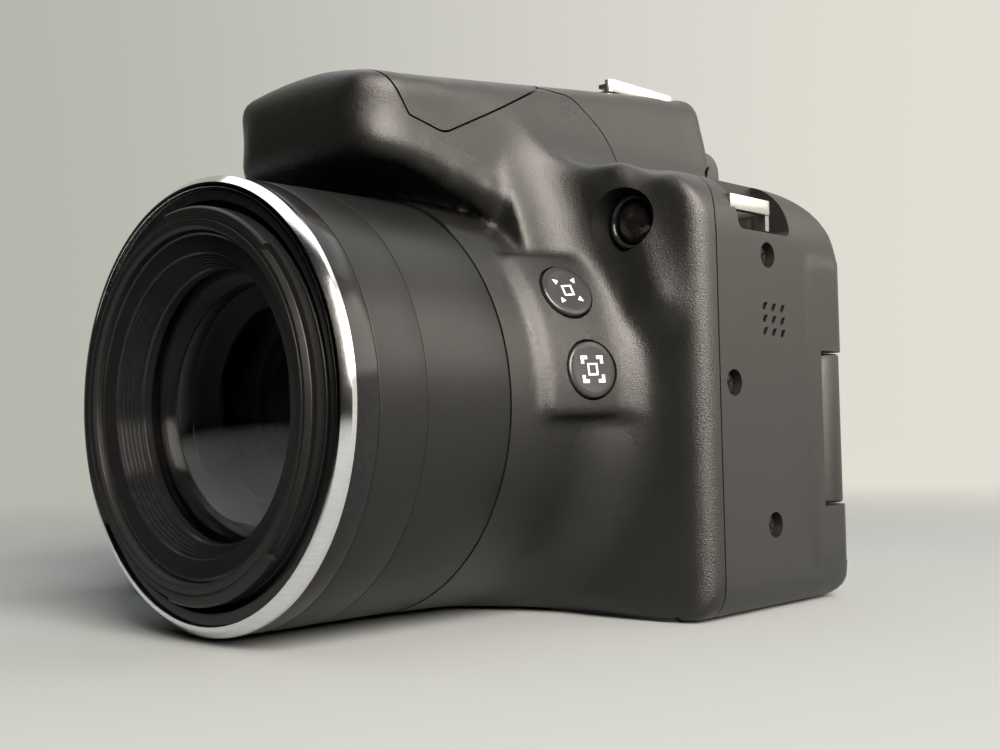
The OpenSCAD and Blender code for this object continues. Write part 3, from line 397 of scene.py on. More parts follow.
HUMP_PLAN = [
    (-16.8, NOSE, 10.5), (16.8, NOSE, 8), (20.4, FRONT, 9), (33, FRONT + 0.3, 0), (33, 30, 0), (27.5, 34, 0),
    (27.5, 50, 0), (-27.5, 50, 0), (-27.5, 10, 0), (-31, 6, 0), (-31, FRONT + 0.3, 0), (-20.4, FRONT, 9),
]
LIP_SIDE = [(40, DECK - 5, 0), (DECK_Y, DECK - 2.7, 0.5), (DECK_Y, DECK, 1.2), (40, DECK, 0)]
EYE_SIDE = [(34, 60, 0), (46.2, 60, 2.5), (46.2, 80, 4.5), (34, 80, 0)]
EYE_FRONT = [(-16.5, 60, 3), (16.5, 60, 3), (16.5, 80, 6), (-16.5, 80, 6)]
CHEEK = [(10, -12, 0), (20.3, -12, 1.2), (21.8, FRONT, 7.5), (34, FRONT + 0.6, 0), (34, 2, 0), (10, 2, 0)]
UNDERCUT = [(-60, 46, 0), (-11.6, 46, 0), (-11.6, 70, 0), (-60, 70, 0)]
STRIP = [(28.7, 6.7, 0), (40.4, 6.7, 0), (40.4, 52.1, 3), (28.7, 52.1, 1)]
PAD_SIDE = [(-17.2, 29, 1.8), (6, 29, 0), (6, 52, 0), (-17.2, 52, 0.8)]
# Edges of the covers, seen from the side
SPLIT = [
    (-70, -10, 0), (4.2, -10, 0), (4.2, 58, 8), (8, 65, 8), (13, 70, 4), (13, 74, 5), (7, 79.6, 4), (0.4, 79.9, 0),
    (0.4, 120, 0), (-70, 120, 0),
]
FLASH = [
    (-31.2, 76.4, 0), (-27.9, 71, 1), (-22, 69.3, 3), (0.1, 79.9, 1.2), (0.1, 82.58, 1.29), (-2.6, 82.58, 0),
    (-3, 120, 0), (-32.2, 120, 0), (-32.2, 78, 0),
]
RUBBER = [(-66, 7, 0), (-27, 7, 6), (-30, 51, 8), (-66, 51, 0)]
THUMB = [(-59, 35, 3), (-46, 35, 3), (-43, 48, 3), (-43, 53.7, 2), (-59, 53.7, 2)]
SIDE_SCREWS = [(17.4, 52.3), (7.7, 33.4), (17.5, 12.7)]
GRIP_SCREWS = [(28, 48), (28, 7.6)]
SPEAKER = (18.5, 42.8)
DROP = [(-0.85, -0.6, 0.4), (0.15, -0.6, 0.4), (0.95, 0.62, 0.08), (0.0, 0.5, 0.2)]
LAMP = (49.4, 57)
SHUTTER, DIAL, POWER = (-42, -7), (-26, 22), (-43, 13)
WHEEL = (-36.5, 26)
REAR_BUTTONS = {"movie": (-35, 48), "playback": (-21.5, 35.5), "menu": (-45.5, 10.5), "display": (-27.5, 10.5),
                "frame": (-22.5, 45)}
BASE_R, PAD_R, RUN_R = 30.9, 33.0, 41.5
SEEK, LOCK = radial(-10, 27, PAD_R), radial(-9.1, 7, PAD_R)
HINGE = (57.4, 36.8)
DIOPTER = (41, 68)
# Ends of an outline that is drawn through the hump, or through the whole body
THROUGH_HUMP, THROUGH_BODY = (LX - 40, LX + 40), (-90, 90)
# Lower and inner edge of the top cover
TOP_Z, TOP_X = 54, -12
# Lean of the hump's crown and the flash window in degrees, of the cheek and the framing buttons as a rise per length
CROWN_LEAN, WINDOW_LEAN, CHEEK_LEAN, BUTTON_LEAN = 6.73, 37, 0.34, 0.21
RUN_STEPS, CUP_STEPS = 12, 14
BUTTON_HOLE = [(0, -2.8, 0), (4.3, -2.8, 0), (4.3, 8, 0), (0, 8, 0)]


def shift(path, across):
    """The same outline moved across."""
    return [(a + across, b, r) for a, b, r in path]


def form(*rows):
    """The space that several outlines share."""
    first, *rest = [prism(*row) for row in rows]
    return common(first, *rest)


def modifier(obj, kind, **values):
    """A modifier with its settings."""
    step = obj.modifiers.new(kind.lower(), kind)
    for key, value in values.items():
        setattr(step, key, value)
    return step


def voxels(obj, size):
    """Adds a remesh to cells of a size."""
    modifier(obj, "REMESH", mode="VOXEL", voxel_size=size * MM)


def swell(obj, by):
    """Adds a growth along the normals."""
    modifier(obj, "DISPLACE", direction="NORMAL", mid_level=0.0, strength=by * MM)


def run_out(radius, end):
    """Profile that leaves the lens base and runs out into the front face at a common edge."""
    fillet = RUN_R - radius
    steps = [math.radians(90 * k / RUN_STEPS) for k in range(RUN_STEPS + 1)]
    return [(radius + fillet * (1 - math.cos(a)), end - fillet * (1 - math.sin(a)), 0) for a in steps]


def hump(edge, cell):
    """The hump: three outlines and a crowned top, with rounded edges."""
    lean = spot("+z", LX, NOSE, DECK - 6.5, CROWN_LEAN)
    crown = lathe("crown", [(0, -40, 0), (50, -40, 0), (50, 120, 0), (0, 120, 0)], lean @ spot("+y", 0, 0, -50), 180)
    block = common(form((HUMP_SIDE, "x", *THROUGH_HUMP), (shift(HUMP_FRONT, LX), "y", -60, 60),
                       (shift(HUMP_PLAN, LX), "z", 0, 95)), crown)
    voxels(block, cell)
    swell(block, -edge)
    voxels(block, cell)
    swell(block, edge)
    return settle(block)


def outer_form(blend, cell):
    """The outside of all covers: forms joined, hollows filled to a radius, pad and strip added, then smoothed."""
    base = [(0, -26, 0), (30.5, -26, 0), *run_out(BASE_R, FRONT + 2.5), (RUN_R, 6, 0), (0, 6, 0)]
    pad = [(20, -17.2, 0), (31.9, -17.2, 1.9), (35.1, -1.6, 8), (39.5, 0.4, 0), (39.5, 6, 0), (20, 6, 0)]
    crest = hump(2.2, cell)
    parts = [
        form((BODY_FRONT, "y", -60, 60), (BODY_SIDE, "x", -70, 70), (BODY_PLAN, "z", -5, 95)),
        form((GRIP_PLAN, "z", -5, 95), (GRIP_SIDE, "x", -70, 0), (GRIP_FRONT, "y", -60, 60)),
        copy(crest, "crest"),
        form((EYE_SIDE, "x", *THROUGH_HUMP), (shift(EYE_FRONT, LX), "y", -60, 60)),
        form((LIP_SIDE, "x", LX - 14.4, LX + 14.4), (shift(HUMP_FRONT, LX), "y", 30, 60)),
        cheek(),
        common(lathe("base", base, steps=96), box((-40, -60, 0.5), (80, 20, 90))),
    ]
    blank = joined("blank", parts)
    voxels(blank, cell * 1.3)
    swell(blank, blend)
    voxels(blank, cell * 1.6)
    for _ in range(2):
        swell(blank, -blend / 2)
        voxels(blank, cell * 1.3)
    settle(blank)
    hollow = carve(prism(UNDERCUT, "x", -14, 62), crest, rod("y", BASE_R, (LX, LZ), -60, 20, steps=128))
    carve(blank, hollow)
    patch = common(lathe("pad", pad, steps=160, segments=10), prism(PAD_SIDE, "x", 30, 60))
    unite(blank, patch, form((STRIP, "x", HW - 4, HW + 0.4), (BODY_PLAN, "z", -5, 95, -0.4)))
    voxels(blank, cell)
    modifier(blank, "SMOOTH", factor=0.5, iterations=9)
    return settle(blank)


def cheek():
    """The side of the nose that sweeps down to the framing buttons, leaning out on its way."""
    block = prism(shift(CHEEK, LX), "z", 44, 66, segments=12)
    for vert in block.data.vertices:
        vert.co.x += (64 * MM - vert.co.z) * CHEEK_LEAN
    return block


def inner_form(blank, wall):
    """The hollow inside the covers, cut back from their bosses and recesses."""
    core = copy(blank, "core")
    swell(core, -wall)
    voxels(core, 1.2)
    settle(core)
    solid = [
        prism(FLASH, "x", *THROUGH_HUMP, d=-2),
        box((-16, 32, 4.1), (55.1, 60, 54.3)),
        box((50.5, 29.8, 4.1), (HW, 60, 54.3)),
        box((HW - 8.3, 7.1, 54.1), (80, 25.5, 90)),
        box((-80, 7.1, 54.1), (-HW + 8.3, 25.5, 90)),
        box((-80, 6.5, 10.5), (-HW + 4.2, 31, 39.5)),
        common(rod("y", 36, (LX, LZ), -30, -0.6, steps=64), box((30, -40, 27), (60, 0, 62))),
        rod("y", 6, LAMP, -20, 3.6),
        rod("y", 13, WHEEL, 34.3, 50),
        rod("z", 7, SHUTTER, 58.5, 80),
        rod("z", 5.6, POWER, 58.5, 80),
    ]
    solid += [rod("y", 4.8, at, 31.5, 60) for at in REAR_BUTTONS.values()]
    solid += [rod("x", 2.4, at, HW - 5.9, 80) for at in SIDE_SCREWS]
    solid += [rod("x", 2.4, at, -80, -HW + 5.9) for at in GRIP_SCREWS]
    return carve(core, *solid)


def top_zone(gap):
    """The corner of the body that the top cover fills, drawn in by a gap."""
    return box((-90, -80, TOP_Z + gap), (TOP_X - gap, 80, 120))


def base_openings():
    """Openings of the battery door and the base plate."""
    return [box((-55.8, -15, -5), (-32.4, 19.8, 2.6)), box((-28.15, 0.35, -5), (55.65, 36.15, 2.6))]


def seat(aim, x, y, z):
    """Counterbore and thread hole of a screw."""
    return lathe("seat", [(0, -6, 0), (0.85, -6, 0), (0.85, -1.8, 0), (1.9, -1.8, 0), (1.9, 0.02, 0), (2.2, 3, 0),
                          (0, 3, 0)], spot(aim, x, y, z), steps=32)


class CAMERA_OT_covers(bpy.types.Operator):
    """Outer covers, flash lid, grip skin and thumb rest, all cut from one outer form"""

    bl_idname = "camera.covers"
    bl_label = "Covers"

    def execute(self, context):
        sizes = context.scene.camera_body
        gap = sizes.seam / MM / 2
        blank = outer_form(sizes.blend / MM, sizes.cell / MM)
        core = inner_form(blank, sizes.wall / MM)
        shell = carve(copy(blank, "shell"), core, keep=True)
        front = common(copy(shell, "front"), prism(SPLIT, "x", *THROUGH_BODY, d=gap))
        carve(front, *self.front_cuts(gap, blank))
        show(front, "FrontCover", "body", "grained_plastic", "front_cover")
        top = common(copy(shell, "top"), top_zone(gap))
        carve(top, *self.top_cuts())
        show(top, "TopCover", "body", "matte_plastic", "top_cover")
        carve(shell, prism(SPLIT, "x", *THROUGH_BODY, d=-gap), top_zone(-gap))
        carve(shell, *self.rear_cuts())
        show(shell, "RearCover", "body", "matte_plastic", "rear_cover")
        self.flash(blank)
        self.skins(blank, gap)
        for obj in (blank, core):
            bpy.data.objects.remove(obj)
        return {"FINISHED"}

    @staticmethod
    def front_cuts(gap, blank):
        skin = carve(
            common(prism(RUBBER, "y", -40, -1.4, d=-0.12), box((-90, -60, 0), (-29.9, 20, 80))),
            inner_skin(blank, 1.1),
        )
        return [
            skin,
            prism(FLASH, "x", *THROUGH_HUMP, d=-0.3),
            box((LX - 36, -3.0, 80.48), (LX + 36, 5, 120)),
            top_zone(-gap),
            rod("y", 29.6, (LX, LZ), -60, 20, steps=128),
            rod("y", 31.5, (LX, LZ), -60, -22.56, steps=128),
            rod("y", 4.7, LAMP, -20, 1.7, steps=64),
            rod("y", 3.4, LAMP, -5, 8),
            lathe("seek", BUTTON_HOLE, SEEK, 64),
            lathe("lock", BUTTON_HOLE, LOCK, 64),
            *base_openings(),
        ]

    @staticmethod
    def top_cuts():
        return [
            box((-80, 8.6, 55.6), (-HW + 6.8, 24, 90)),
            rod("z", 2.9, SHUTTER, 40, 90),
            rod("z", 6.1, SHUTTER, 63.1, 90),
            rod("z", 2.85, DIAL, 40, 90),
            rod("z", 4.3, POWER, 61.3, 90),
            rod("z", 1.8, POWER, 40, 90),
        ]

    @staticmethod
    def rear_cuts():
        y, z = SPEAKER
        cuts = [
            box((-14.4, 33.6, 5.7), (53.4, 70, 52.7)),
            box((52.1, 31.4, 14.6), (80, 70, 38.6)),
            carve(box((52.1, 36.8, 5.7), (80, 70, 52.7)), rod("z", 4, HINGE, 0, 60)),
            rod("z", 1.45, HINGE, 12, 41.3),
            prism([(10.1, 55.6, 1.2), (24, 55.6, 1.2), (24, 90, 0), (10.1, 90, 0)], "x", HW - 6.8, 80),
            box((-80, 7.75, 11.75), (-HW + 3, 29.7, 38.25)),
            rod("y", 11.3, WHEEL, 37.1, 60, steps=96),
            rod("y", 4.2, WHEEL, 20, 60),
            box((LX - 9.8, 40, 63.2), (LX + 9.8, 60, 77.8)),
            rod("x", 4.5, DIOPTER, LX + 15.5, 80),
            rod("x", 0.65, DIOPTER, LX + 10, 80),
            *base_openings(),
        ]
        cuts += [rod("y", 3.7 if name == "movie" else 3.1, at, 30, 60) for name, at in REAR_BUTTONS.items()]
        cuts += [seat("+x", HW, *at) for at in SIDE_SCREWS]
        cuts += [seat("-x", -HW, *at) for at in GRIP_SCREWS]
        cuts += [
            prism([(y + 2.4 * i + a, z + 1.85 * j - 0.1 * i + b, c) for a, b, c in DROP], "x", 50, 80)
            for i in (-1, 0, 1) for j in (-1, 0, 1)
        ]
        return cuts

    @staticmethod
    def flash(blank):
        lid = common(copy(blank, "lid"), prism(FLASH, "x", *THROUGH_HUMP))
        hollow = common(
            inner_skin(blank, 2), prism(FLASH, "x", *THROUGH_HUMP, d=1.6), box((LX - 36, -30, 40), (60, -5, 120)),
        )
        carve(lid, hollow, flash_opening(13.2, 2.2), box((LX - 3.3, -2.8, 40), (LX + 3.3, 5, 120)))
        show(lid, "FlashLid", "flash", "matte_plastic", "flash_head")

    @staticmethod
    def skins(blank, gap):
        zone = common(prism(RUBBER, "y", -40, -1.5), box((-90, -60, 0), (-30, 20, TOP_Z - 2 * gap)))
        skin = carve(common(copy(blank, "skin"), zone), inner_skin(blank, 1.0))
        show(skin, "GripSkin", "body", "rubber", "grip_rubber")
        rest = copy(blank, "rest")
        swell(rest, 1.3)
        settle(rest)
        common(rest, prism(THUMB, "y", 20, 60))
        carve(rest, blank, keep=True)
        show(rest, "ThumbRest", "body", "rubber", "thumb_rest")


def inner_skin(blank, depth):
    """The outer form shrunk by a depth."""
    inner = copy(blank, "inner")
    swell(inner, -depth)
    voxels(inner, 1.0)
    return settle(inner)


def flash_opening(half, back):
    """The slanted slot of the flash window."""
    bm = bmesh.new()
    bmesh.ops.create_cube(bm, size=MM)
    bmesh.ops.scale(bm, vec=(2 * half, back + 8.4, 4.2), verts=bm.verts)
    bmesh.ops.translate(bm, vec=(0, (back - 8.4) / 2 * MM, 0.5 * MM), verts=bm.verts)
    lean = spot("+z", LX, -25.6, 74.2, WINDOW_LEAN)
    bmesh.ops.transform(bm, matrix=lean, verts=bm.verts)
    return put("slot", bm)


def disc(name, profile, place, body, slot, *nodes, steps=64):
    """A turned piece, finished at once."""
    return show(lathe(name, profile, place, steps), name, body, slot, *nodes)


def wedge(start, stop, low, high):
    """A slice about the lens axis between two angles."""
    turns = [math.radians(start + (stop - start) * k / 4) for k in range(5)]
    rim = [(LX + 70 * math.cos(a), LZ + 70 * math.sin(a), 0) for a in turns]
    return prism([(LX, LZ, 0), *rim], "y", low, high)


def cup(radius, apex, reach):
    """Points of a round lens face, from its middle to its edge."""
    places = [reach * k / CUP_STEPS for k in range(CUP_STEPS + 1)]
    return [(r, apex + radius - math.sqrt(radius ** 2 - r ** 2), 0) for r in places]


def knurl(name, radius, depth, count, place, low, high):
    """A ring of ribs round a disc."""
    turns = [math.tau * (k + s) / count for k in range(count) for s in (-0.28, -0.12, 0.12, 0.28)]
    sizes = [radius - depth, radius, radius, radius - depth] * count
    return plates(name, [[(r * math.cos(a), r * math.sin(a)) for r, a in zip(sizes, turns)]], place, low, high)


def ribbed(obj, *rim):
    """A knob joined with its ring of ribs."""
    return unite(obj, knurl("ribs", *rim))


def edged(obj, width, segments=2):
    """Rounds the sharp edges of a finished shape."""
    modifier(obj, "BEVEL", width=width * MM, segments=segments, limit_method="ANGLE", angle_limit=math.radians(40))
    return settle(obj)


def bar(a, b, c, d):
    """Four corners of a flat bar."""
    return [(a, b), (c, b), (c, d), (a, d)]


class CAMERA_OT_lens(bpy.types.Operator):
    """Barrel, bands, zoom tubes, name ring, front glass and lens groups"""

    bl_idname = "camera.lens"
    bl_label = "Lens"

    def execute(self, context):
        steps = context.scene.camera_body.lens_steps
        barrel = lathe("barrel", [
            (27.6, -45.58, 0), (30.5, -45.58, 0.12), (30.5, -37.8, 0.06), (30.38, -37.74, 0), (30.38, -37.62, 0),
            (30.47, -37.56, 0.05), (30.47, -22.8, 0.15), (30.25, -22.6, 0), (29.3, -22.6, 0), (29.3, 3, 0),
            (27.6, 3, 0)], steps=steps)
        feet = [plates("foot", [bar(0.8, -3, long, 3)], radial(0, angle, 0), low, 34)
                for angle in (25, 90, 228) for long, low in ((2.6, 27.8), (18, 31))]
        show(unite(barrel, *feet), "Barrel", "body", "satin_black", "outer_barrel")
        disc("HoodBand", [(27.2, -50.5, 0.15), (28.85, -50.5, 0.1), (28.85, -49.1, 0), (30.5, -49.1, 0.08),
                          (30.5, -45.62, 0.12), (27.2, -45.62, 0)],
             LENS, "body", "gloss_black", "hood_ring", steps=steps)
        disc("TrimRing", [(28.9, -50.95, 0.1), (29.6, -50.9, 0.12), (30.54, -49.85, 0.15), (30.54, -49.12, 0.05),
                          (28.9, -49.12, 0)],
             LENS, "body", "chrome", "trim_ring", steps=steps)
        disc("MiddleTube", [(24.8, -50.2, 0.2), (26.2, -50.2, 0.2), (26.2, 4, 0), (24.8, 4, 0)],
             LENS, "middle", "satin_black", "middle_tube", steps=steps)
        self.front(steps)
        self.groups(steps)
        return {"FINISHED"}

    @staticmethod
    def front(steps):
        tube = lathe("front", [
            (23.2, -52.3, 0.1), (23.65, -52.75, 0.12), (24.55, -52.75, 0.1), (24.7, -52.55, 0.05), (24.85, -52.75, 0.1),
            (25.95, -52.75, 0.2), (26.3, -52.4, 0.2), (26.3, -50.5, 0.1), (24.5, -50.5, 0), (24.5, -6, 0.2),
            (23.2, -6, 0.2), (23.2, -37.8, 0), (13.2, -37.8, 0.1), (13.2, -38.3, 0.1), (16, -39.4, 0.1),
            (16.2, -41, 0.1), (19, -42.6, 0.2), (23.2, -42.8, 0)], steps=steps)
        step = lathe("step", [(25.15, -56, 0), (29, -56, 0), (29, -51.7, 0), (25.35, -51.7, 0.15)], steps=steps)
        for start, stop in ((-47, 48), (100, 140), (218, 260)):
            carve(tube, common(copy(step, "cut"), wedge(start, stop, -60, -40)))
        bpy.data.objects.remove(step)
        show(tube, "FrontTube", "front", "satin_black", "front_tube")
        ridges = [(20.1 - 0.28 * (k // 2), -50.85 + 0.5 * ((k + 1) // 2), 0.04) for k in range(12)]
        disc("NameRing", [(23.15, -46.4, 0), (23.15, -51.6, 0.1), (22.85, -51.65, 0.05), (22.6, -51.45, 0.05),
                          (20.3, -51.05, 0.1), *ridges, (18.42, -47.6, 0.1), (18.42, -46.4, 0)],
             LENS, "front", "gloss_black", "name_ring", steps=steps)
        face, back = cup(42, -49.8, 20.2), cup(64, -46.6, 20.2)
        disc("FrontGlass", [*face, *reversed(back)], LENS, "front", "front_glass", "front_lens", steps=steps)

    @staticmethod
    def groups(steps):
        cells = (("ZoomGroup", "zoom_group", -35, 6, 38, "zoom_lens_group"),
                 ("StabiliserGroup", "stabiliser", -6, 7.6, 34, "stabiliser_lens"),
                 ("FocusGroup", "focus", 5.6, 3.8, 40, "focus_lens"))
        for name, body, at, deep, curve, source in cells:
            eyes = [lathe("eye", [(0.96, at, 0), (1.9, at, 0.1), (1.9, at + deep, 0.1), (0.96, at + deep, 0)],
                          spot("+y", LX + side * 20.5, 0, LZ), 24) for side in (-1, 1)]
            arms = [box((LX + min(15 * s, 18.9 * s), at + 0.4, LZ - 1.5),
                        (LX + max(15 * s, 18.9 * s), at + deep - 0.4, LZ + 1.5)) for s in (-1, 1)]
            cell = lathe("cell", [(11.2, at + 0.2, 0), (13, at, 0.2), (15.9, at, 0.3), (15.9, at + deep, 0.3),
                                  (11.2, at + deep, 0.2)], steps=steps)
            show(unite(cell, *arms, *eyes), name, body, "matte_plastic", source)
            dome = cup(curve, at + 0.3, 11.15)
            disc(name + "Glass", [*dome, (11.15, at + deep - 0.4, 0), (0, at + deep - 0.4, 0)],
                 LENS, body, "lens_cell", steps=96)


def slope(obj, place, rise):
    """Leans the top of a turned piece along its first axis, with its foot and sides kept straight."""
    back = place.inverted()
    for vert in obj.data.vertices:
        at = back @ vert.co
        if at.z > 0:
            vert.co = place @ Vector((at.x, at.y, at.z + rise * at.x))
    return obj


class CAMERA_OT_framing(bpy.types.Operator):
    """Two framing buttons with their pictograms, and the lamp"""

    bl_idname = "camera.framing"
    bl_label = "Framing buttons and lamp"

    def execute(self, context):
        face = [(0, -1.6, 0), (4, -1.6, 0), (4, 0.72, 0.32), (3.2, 0.74, 0.5), (0, 0.62, 0)]
        frame_lines = [bar(-0.85, -0.85, 0.85, -0.6), bar(-0.85, 0.6, 0.85, 0.85), bar(-0.85, -0.58, -0.6, 0.58),
                       bar(0.6, -0.58, 0.85, 0.58)]
        head = [(1.05, 1.62), (1.62, 1.05), (1.95, 1.95)]
        hook = [(0.8, 1.9), (0.8, 1.42), (1.42, 1.42), (1.42, 0.8), (1.9, 0.8), (1.9, 1.9)]
        for name, place, mark in (("seek", SEEK, head), ("lock", LOCK, hook)):
            marks = [[(x * a, y * b) for x, y in mark] for a in (-1, 1) for b in (-1, 1)]
            button = disc(name.title() + "Button", face, place, name, "button_black", name + "_button")
            slope(button, place, BUTTON_LEAN)
            lines = slope(plates("mark", [*frame_lines, *marks], place, 0.5, 0.735), place, BUTTON_LEAN)
            show(lines, name.title() + "Mark", name, "mark_white")
        spot_lamp = spot("+y", LAMP[0], 0, LAMP[1])
        disc("LampLens", [(0, 0.1, 0), (1.2, 0.2, 0.3), (2.3, 0.55, 0.6), (3.0, 1.05, 0.3), (3.3, 1.45, 0),
                          (3.3, 5.5, 0.2), (0, 5.5, 0)], spot_lamp, "body", "lamp_red", "lamp_lens")
        disc("LampRing", [(3.38, 1.66, 0), (3.38, 0.75, 0.12), (3.75, 0.4, 0.12), (4.0, 0.6, 0.1), (4.05, 1.05, 0.1),
                          (4.55, 1.15, 0.1), (4.6, 1.66, 0)], spot_lamp, "body", "gloss_black")
        return {"FINISHED"}


class CAMERA_OT_side(bpy.types.Operator):
    """Strap lugs and screws"""

    bl_idname = "camera.side"
    bl_label = "Side pieces"

    def execute(self, context):
        lugs = []
        for s in (-1, 1):
            plan = [(HW - 1.9, 9, 0), (HW - 1.9, 19.1, 0.5), (HW - 6.8, 19.1, 0), (HW - 6.8, 20.3, 0),
                    (HW - 0.7, 20.3, 1.2), (HW - 0.7, 9, 0)]
            path = [(x, y, r) for x, y, r in reversed(plan)] if s > 0 else [(-x, y, r) for x, y, r in plan]
            ends = sorted((s * (HW - 3.2), s * (HW - 1.3)))
            tab = box((ends[0], 19.2, 56.2), (ends[1], 20.2, 59.5))
            lugs.append(unite(prism(path, "z", 58.5, 60.6), tab))
        show(edged(joined("lugs", lugs), 0.15), "StrapLugs", "body", "bright_metal", "strap_lugs")
        places = [spot("+x", HW - 1.8, *at) for at in SIDE_SCREWS] + [spot("-x", -HW + 1.8, *at) for at in GRIP_SCREWS]
        places += [spot("-z", x, y, 1.8) for x in (-24, 51.5) for y in (4.6, 26.5)]
        screws = []
        for place in places:
            head = lathe("head", [(0, -4, 0), (0.8, -4, 0), (0.8, 0, 0), (1.6, 0, 0), (1.6, 0.55, 0.3),
                                  (0.7, 0.72, 0.3), (0, 0.74, 0)], place, 32)
            cross = [plates("slot", [bar(-0.95, -0.17, 0.95, 0.17)], place @ Matrix.Rotation(turn, 4, "Z"), 0.3, 2)
                     for turn in (0.5, 0.5 + math.pi / 2)]
            screws.append(carve(head, *cross))
        show(joined("screws", screws), "BodyScrews", "body", "dark_metal", "case_screws")
        return {"FINISHED"}


class CAMERA_OT_top(bpy.types.Operator):
    """Hot shoe, shutter button, zoom lever, mode dial and power button"""

    bl_idname = "camera.top"
    bl_label = "Top pieces"

    def execute(self, context):
        shoe = 25.5
        rails = edged(carve(
            prism([(LX - 10.6, shoe, 1.4), (LX + 10.6, shoe, 1.4), (LX + 10.6, shoe + 18.5, 0.8),
                   (LX - 10.6, shoe + 18.5, 0.8)], "z", DECK, DECK + 2.2),
            box((LX - 9.4, shoe - 5, DECK + 0.3), (LX + 9.4, shoe + 17.2, DECK + 1.5)),
            box((LX - 6.4, shoe - 5, DECK + 0.3), (LX + 6.4, shoe + 30, DECK + 5)),
            box((LX - 9.4, shoe - 5, DECK + 0.3), (LX + 9.4, shoe + 2, DECK + 5))), 0.14)
        show(rails, "HotShoeRails", "body", "bright_metal", "hot_shoe_rails")
        show(box((LX - 6.2, shoe + 0.5, DECK + 0.3), (LX + 6.2, shoe + 18.2, DECK + 0.6), 0.1), "HotShoeInsert",
             "body", "black_plastic", "hot_shoe_base")
        studs = [rod("z", 1.1, (LX + a, shoe + b), DECK + 0.5, DECK + 0.72, steps=24)
                 for a, b in ((0, 8.5), (4.2, 13.5), (-4.2, 13.5), (4.2, 8.5))]
        show(joined("studs", studs), "HotShoeContacts", "body", "steel")
        at = spot("+z", *SHUTTER, SHOULDER)
        disc("ShutterButton", [(0, -5, 0), (2.5, -5, 0), (2.5, 0.6, 0), (5.5, 0.6, 0.2), (5.5, 4.6, 0.9),
                               (3.4, 4.55, 0.6), (0, 3.9, 0)], at, "shutter", "button_metal", "shutter_button")
        ring = lathe("ring", [(6.25, 0.9, 0.1), (9.2, 0.9, 0.3), (9.2, 3.6, 0.6), (6.25, 3.6, 0.3)], at, 72)
        x, y = SHUTTER
        tab = prism([(x - 4, y - 8, 0), (x - 3, y - 12.4, 1), (x + 3, y - 12.4, 1), (x + 4, y - 8, 0)], "z", 65.5, 68.9)
        carve(tab, *[box((x - 2.8 + 1.6 * k, y - 14, 68.4), (x - 2 + 1.6 * k, y - 9.4, 70)) for k in range(4)])
        show(edged(unite(ring, tab), 0.12), "ZoomLever", "lever", "black_plastic", "zoom_lever")
        self.dial()
        disc("PowerButton", [(0, -5, 0), (1.5, -5, 0), (1.5, -1.8, 0), (4, -1.8, 0.2), (4, 0.6, 0.5), (2.6, 0.55, 0.4),
                             (0, 0.3, 0)], spot("+z", *POWER, SHOULDER), "power", "button_metal", "power_button")
        return {"FINISHED"}

    @staticmethod
    def dial():
        at = spot("+z", *DIAL, SHOULDER)
        body = lathe("dial", [(0, -4.5, 0), (2.8, -4.5, 0), (2.8, 0.3, 0), (9.4, 0.3, 0.3), (9.4, 6.7, 0.7),
                              (8.2, 6.72, 0.2), (7.9, 6.5, 0.2), (0, 6.5, 0)], at, 96)
        show(ribbed(body, 9.8, 0.5, 40, at, 0.9, 5.6), "ModeDial", "dial", "black_plastic", "mode_dial")
        marks = []
        for k in range(9):
            turn = math.tau * k / 9
            size = (0.9, 0.35) if k % 3 else (0.7, 0.7)
            corners = bar(6.2 - size[0], -size[1], 6.2 + size[0], size[1])
            marks.append([(a * math.cos(turn) - b * math.sin(turn), a * math.sin(turn) + b * math.cos(turn))
                          for a, b in corners])
        show(plates("marks", marks, at, 6.45, 6.53), "DialMarks", "dial", "mark_white")


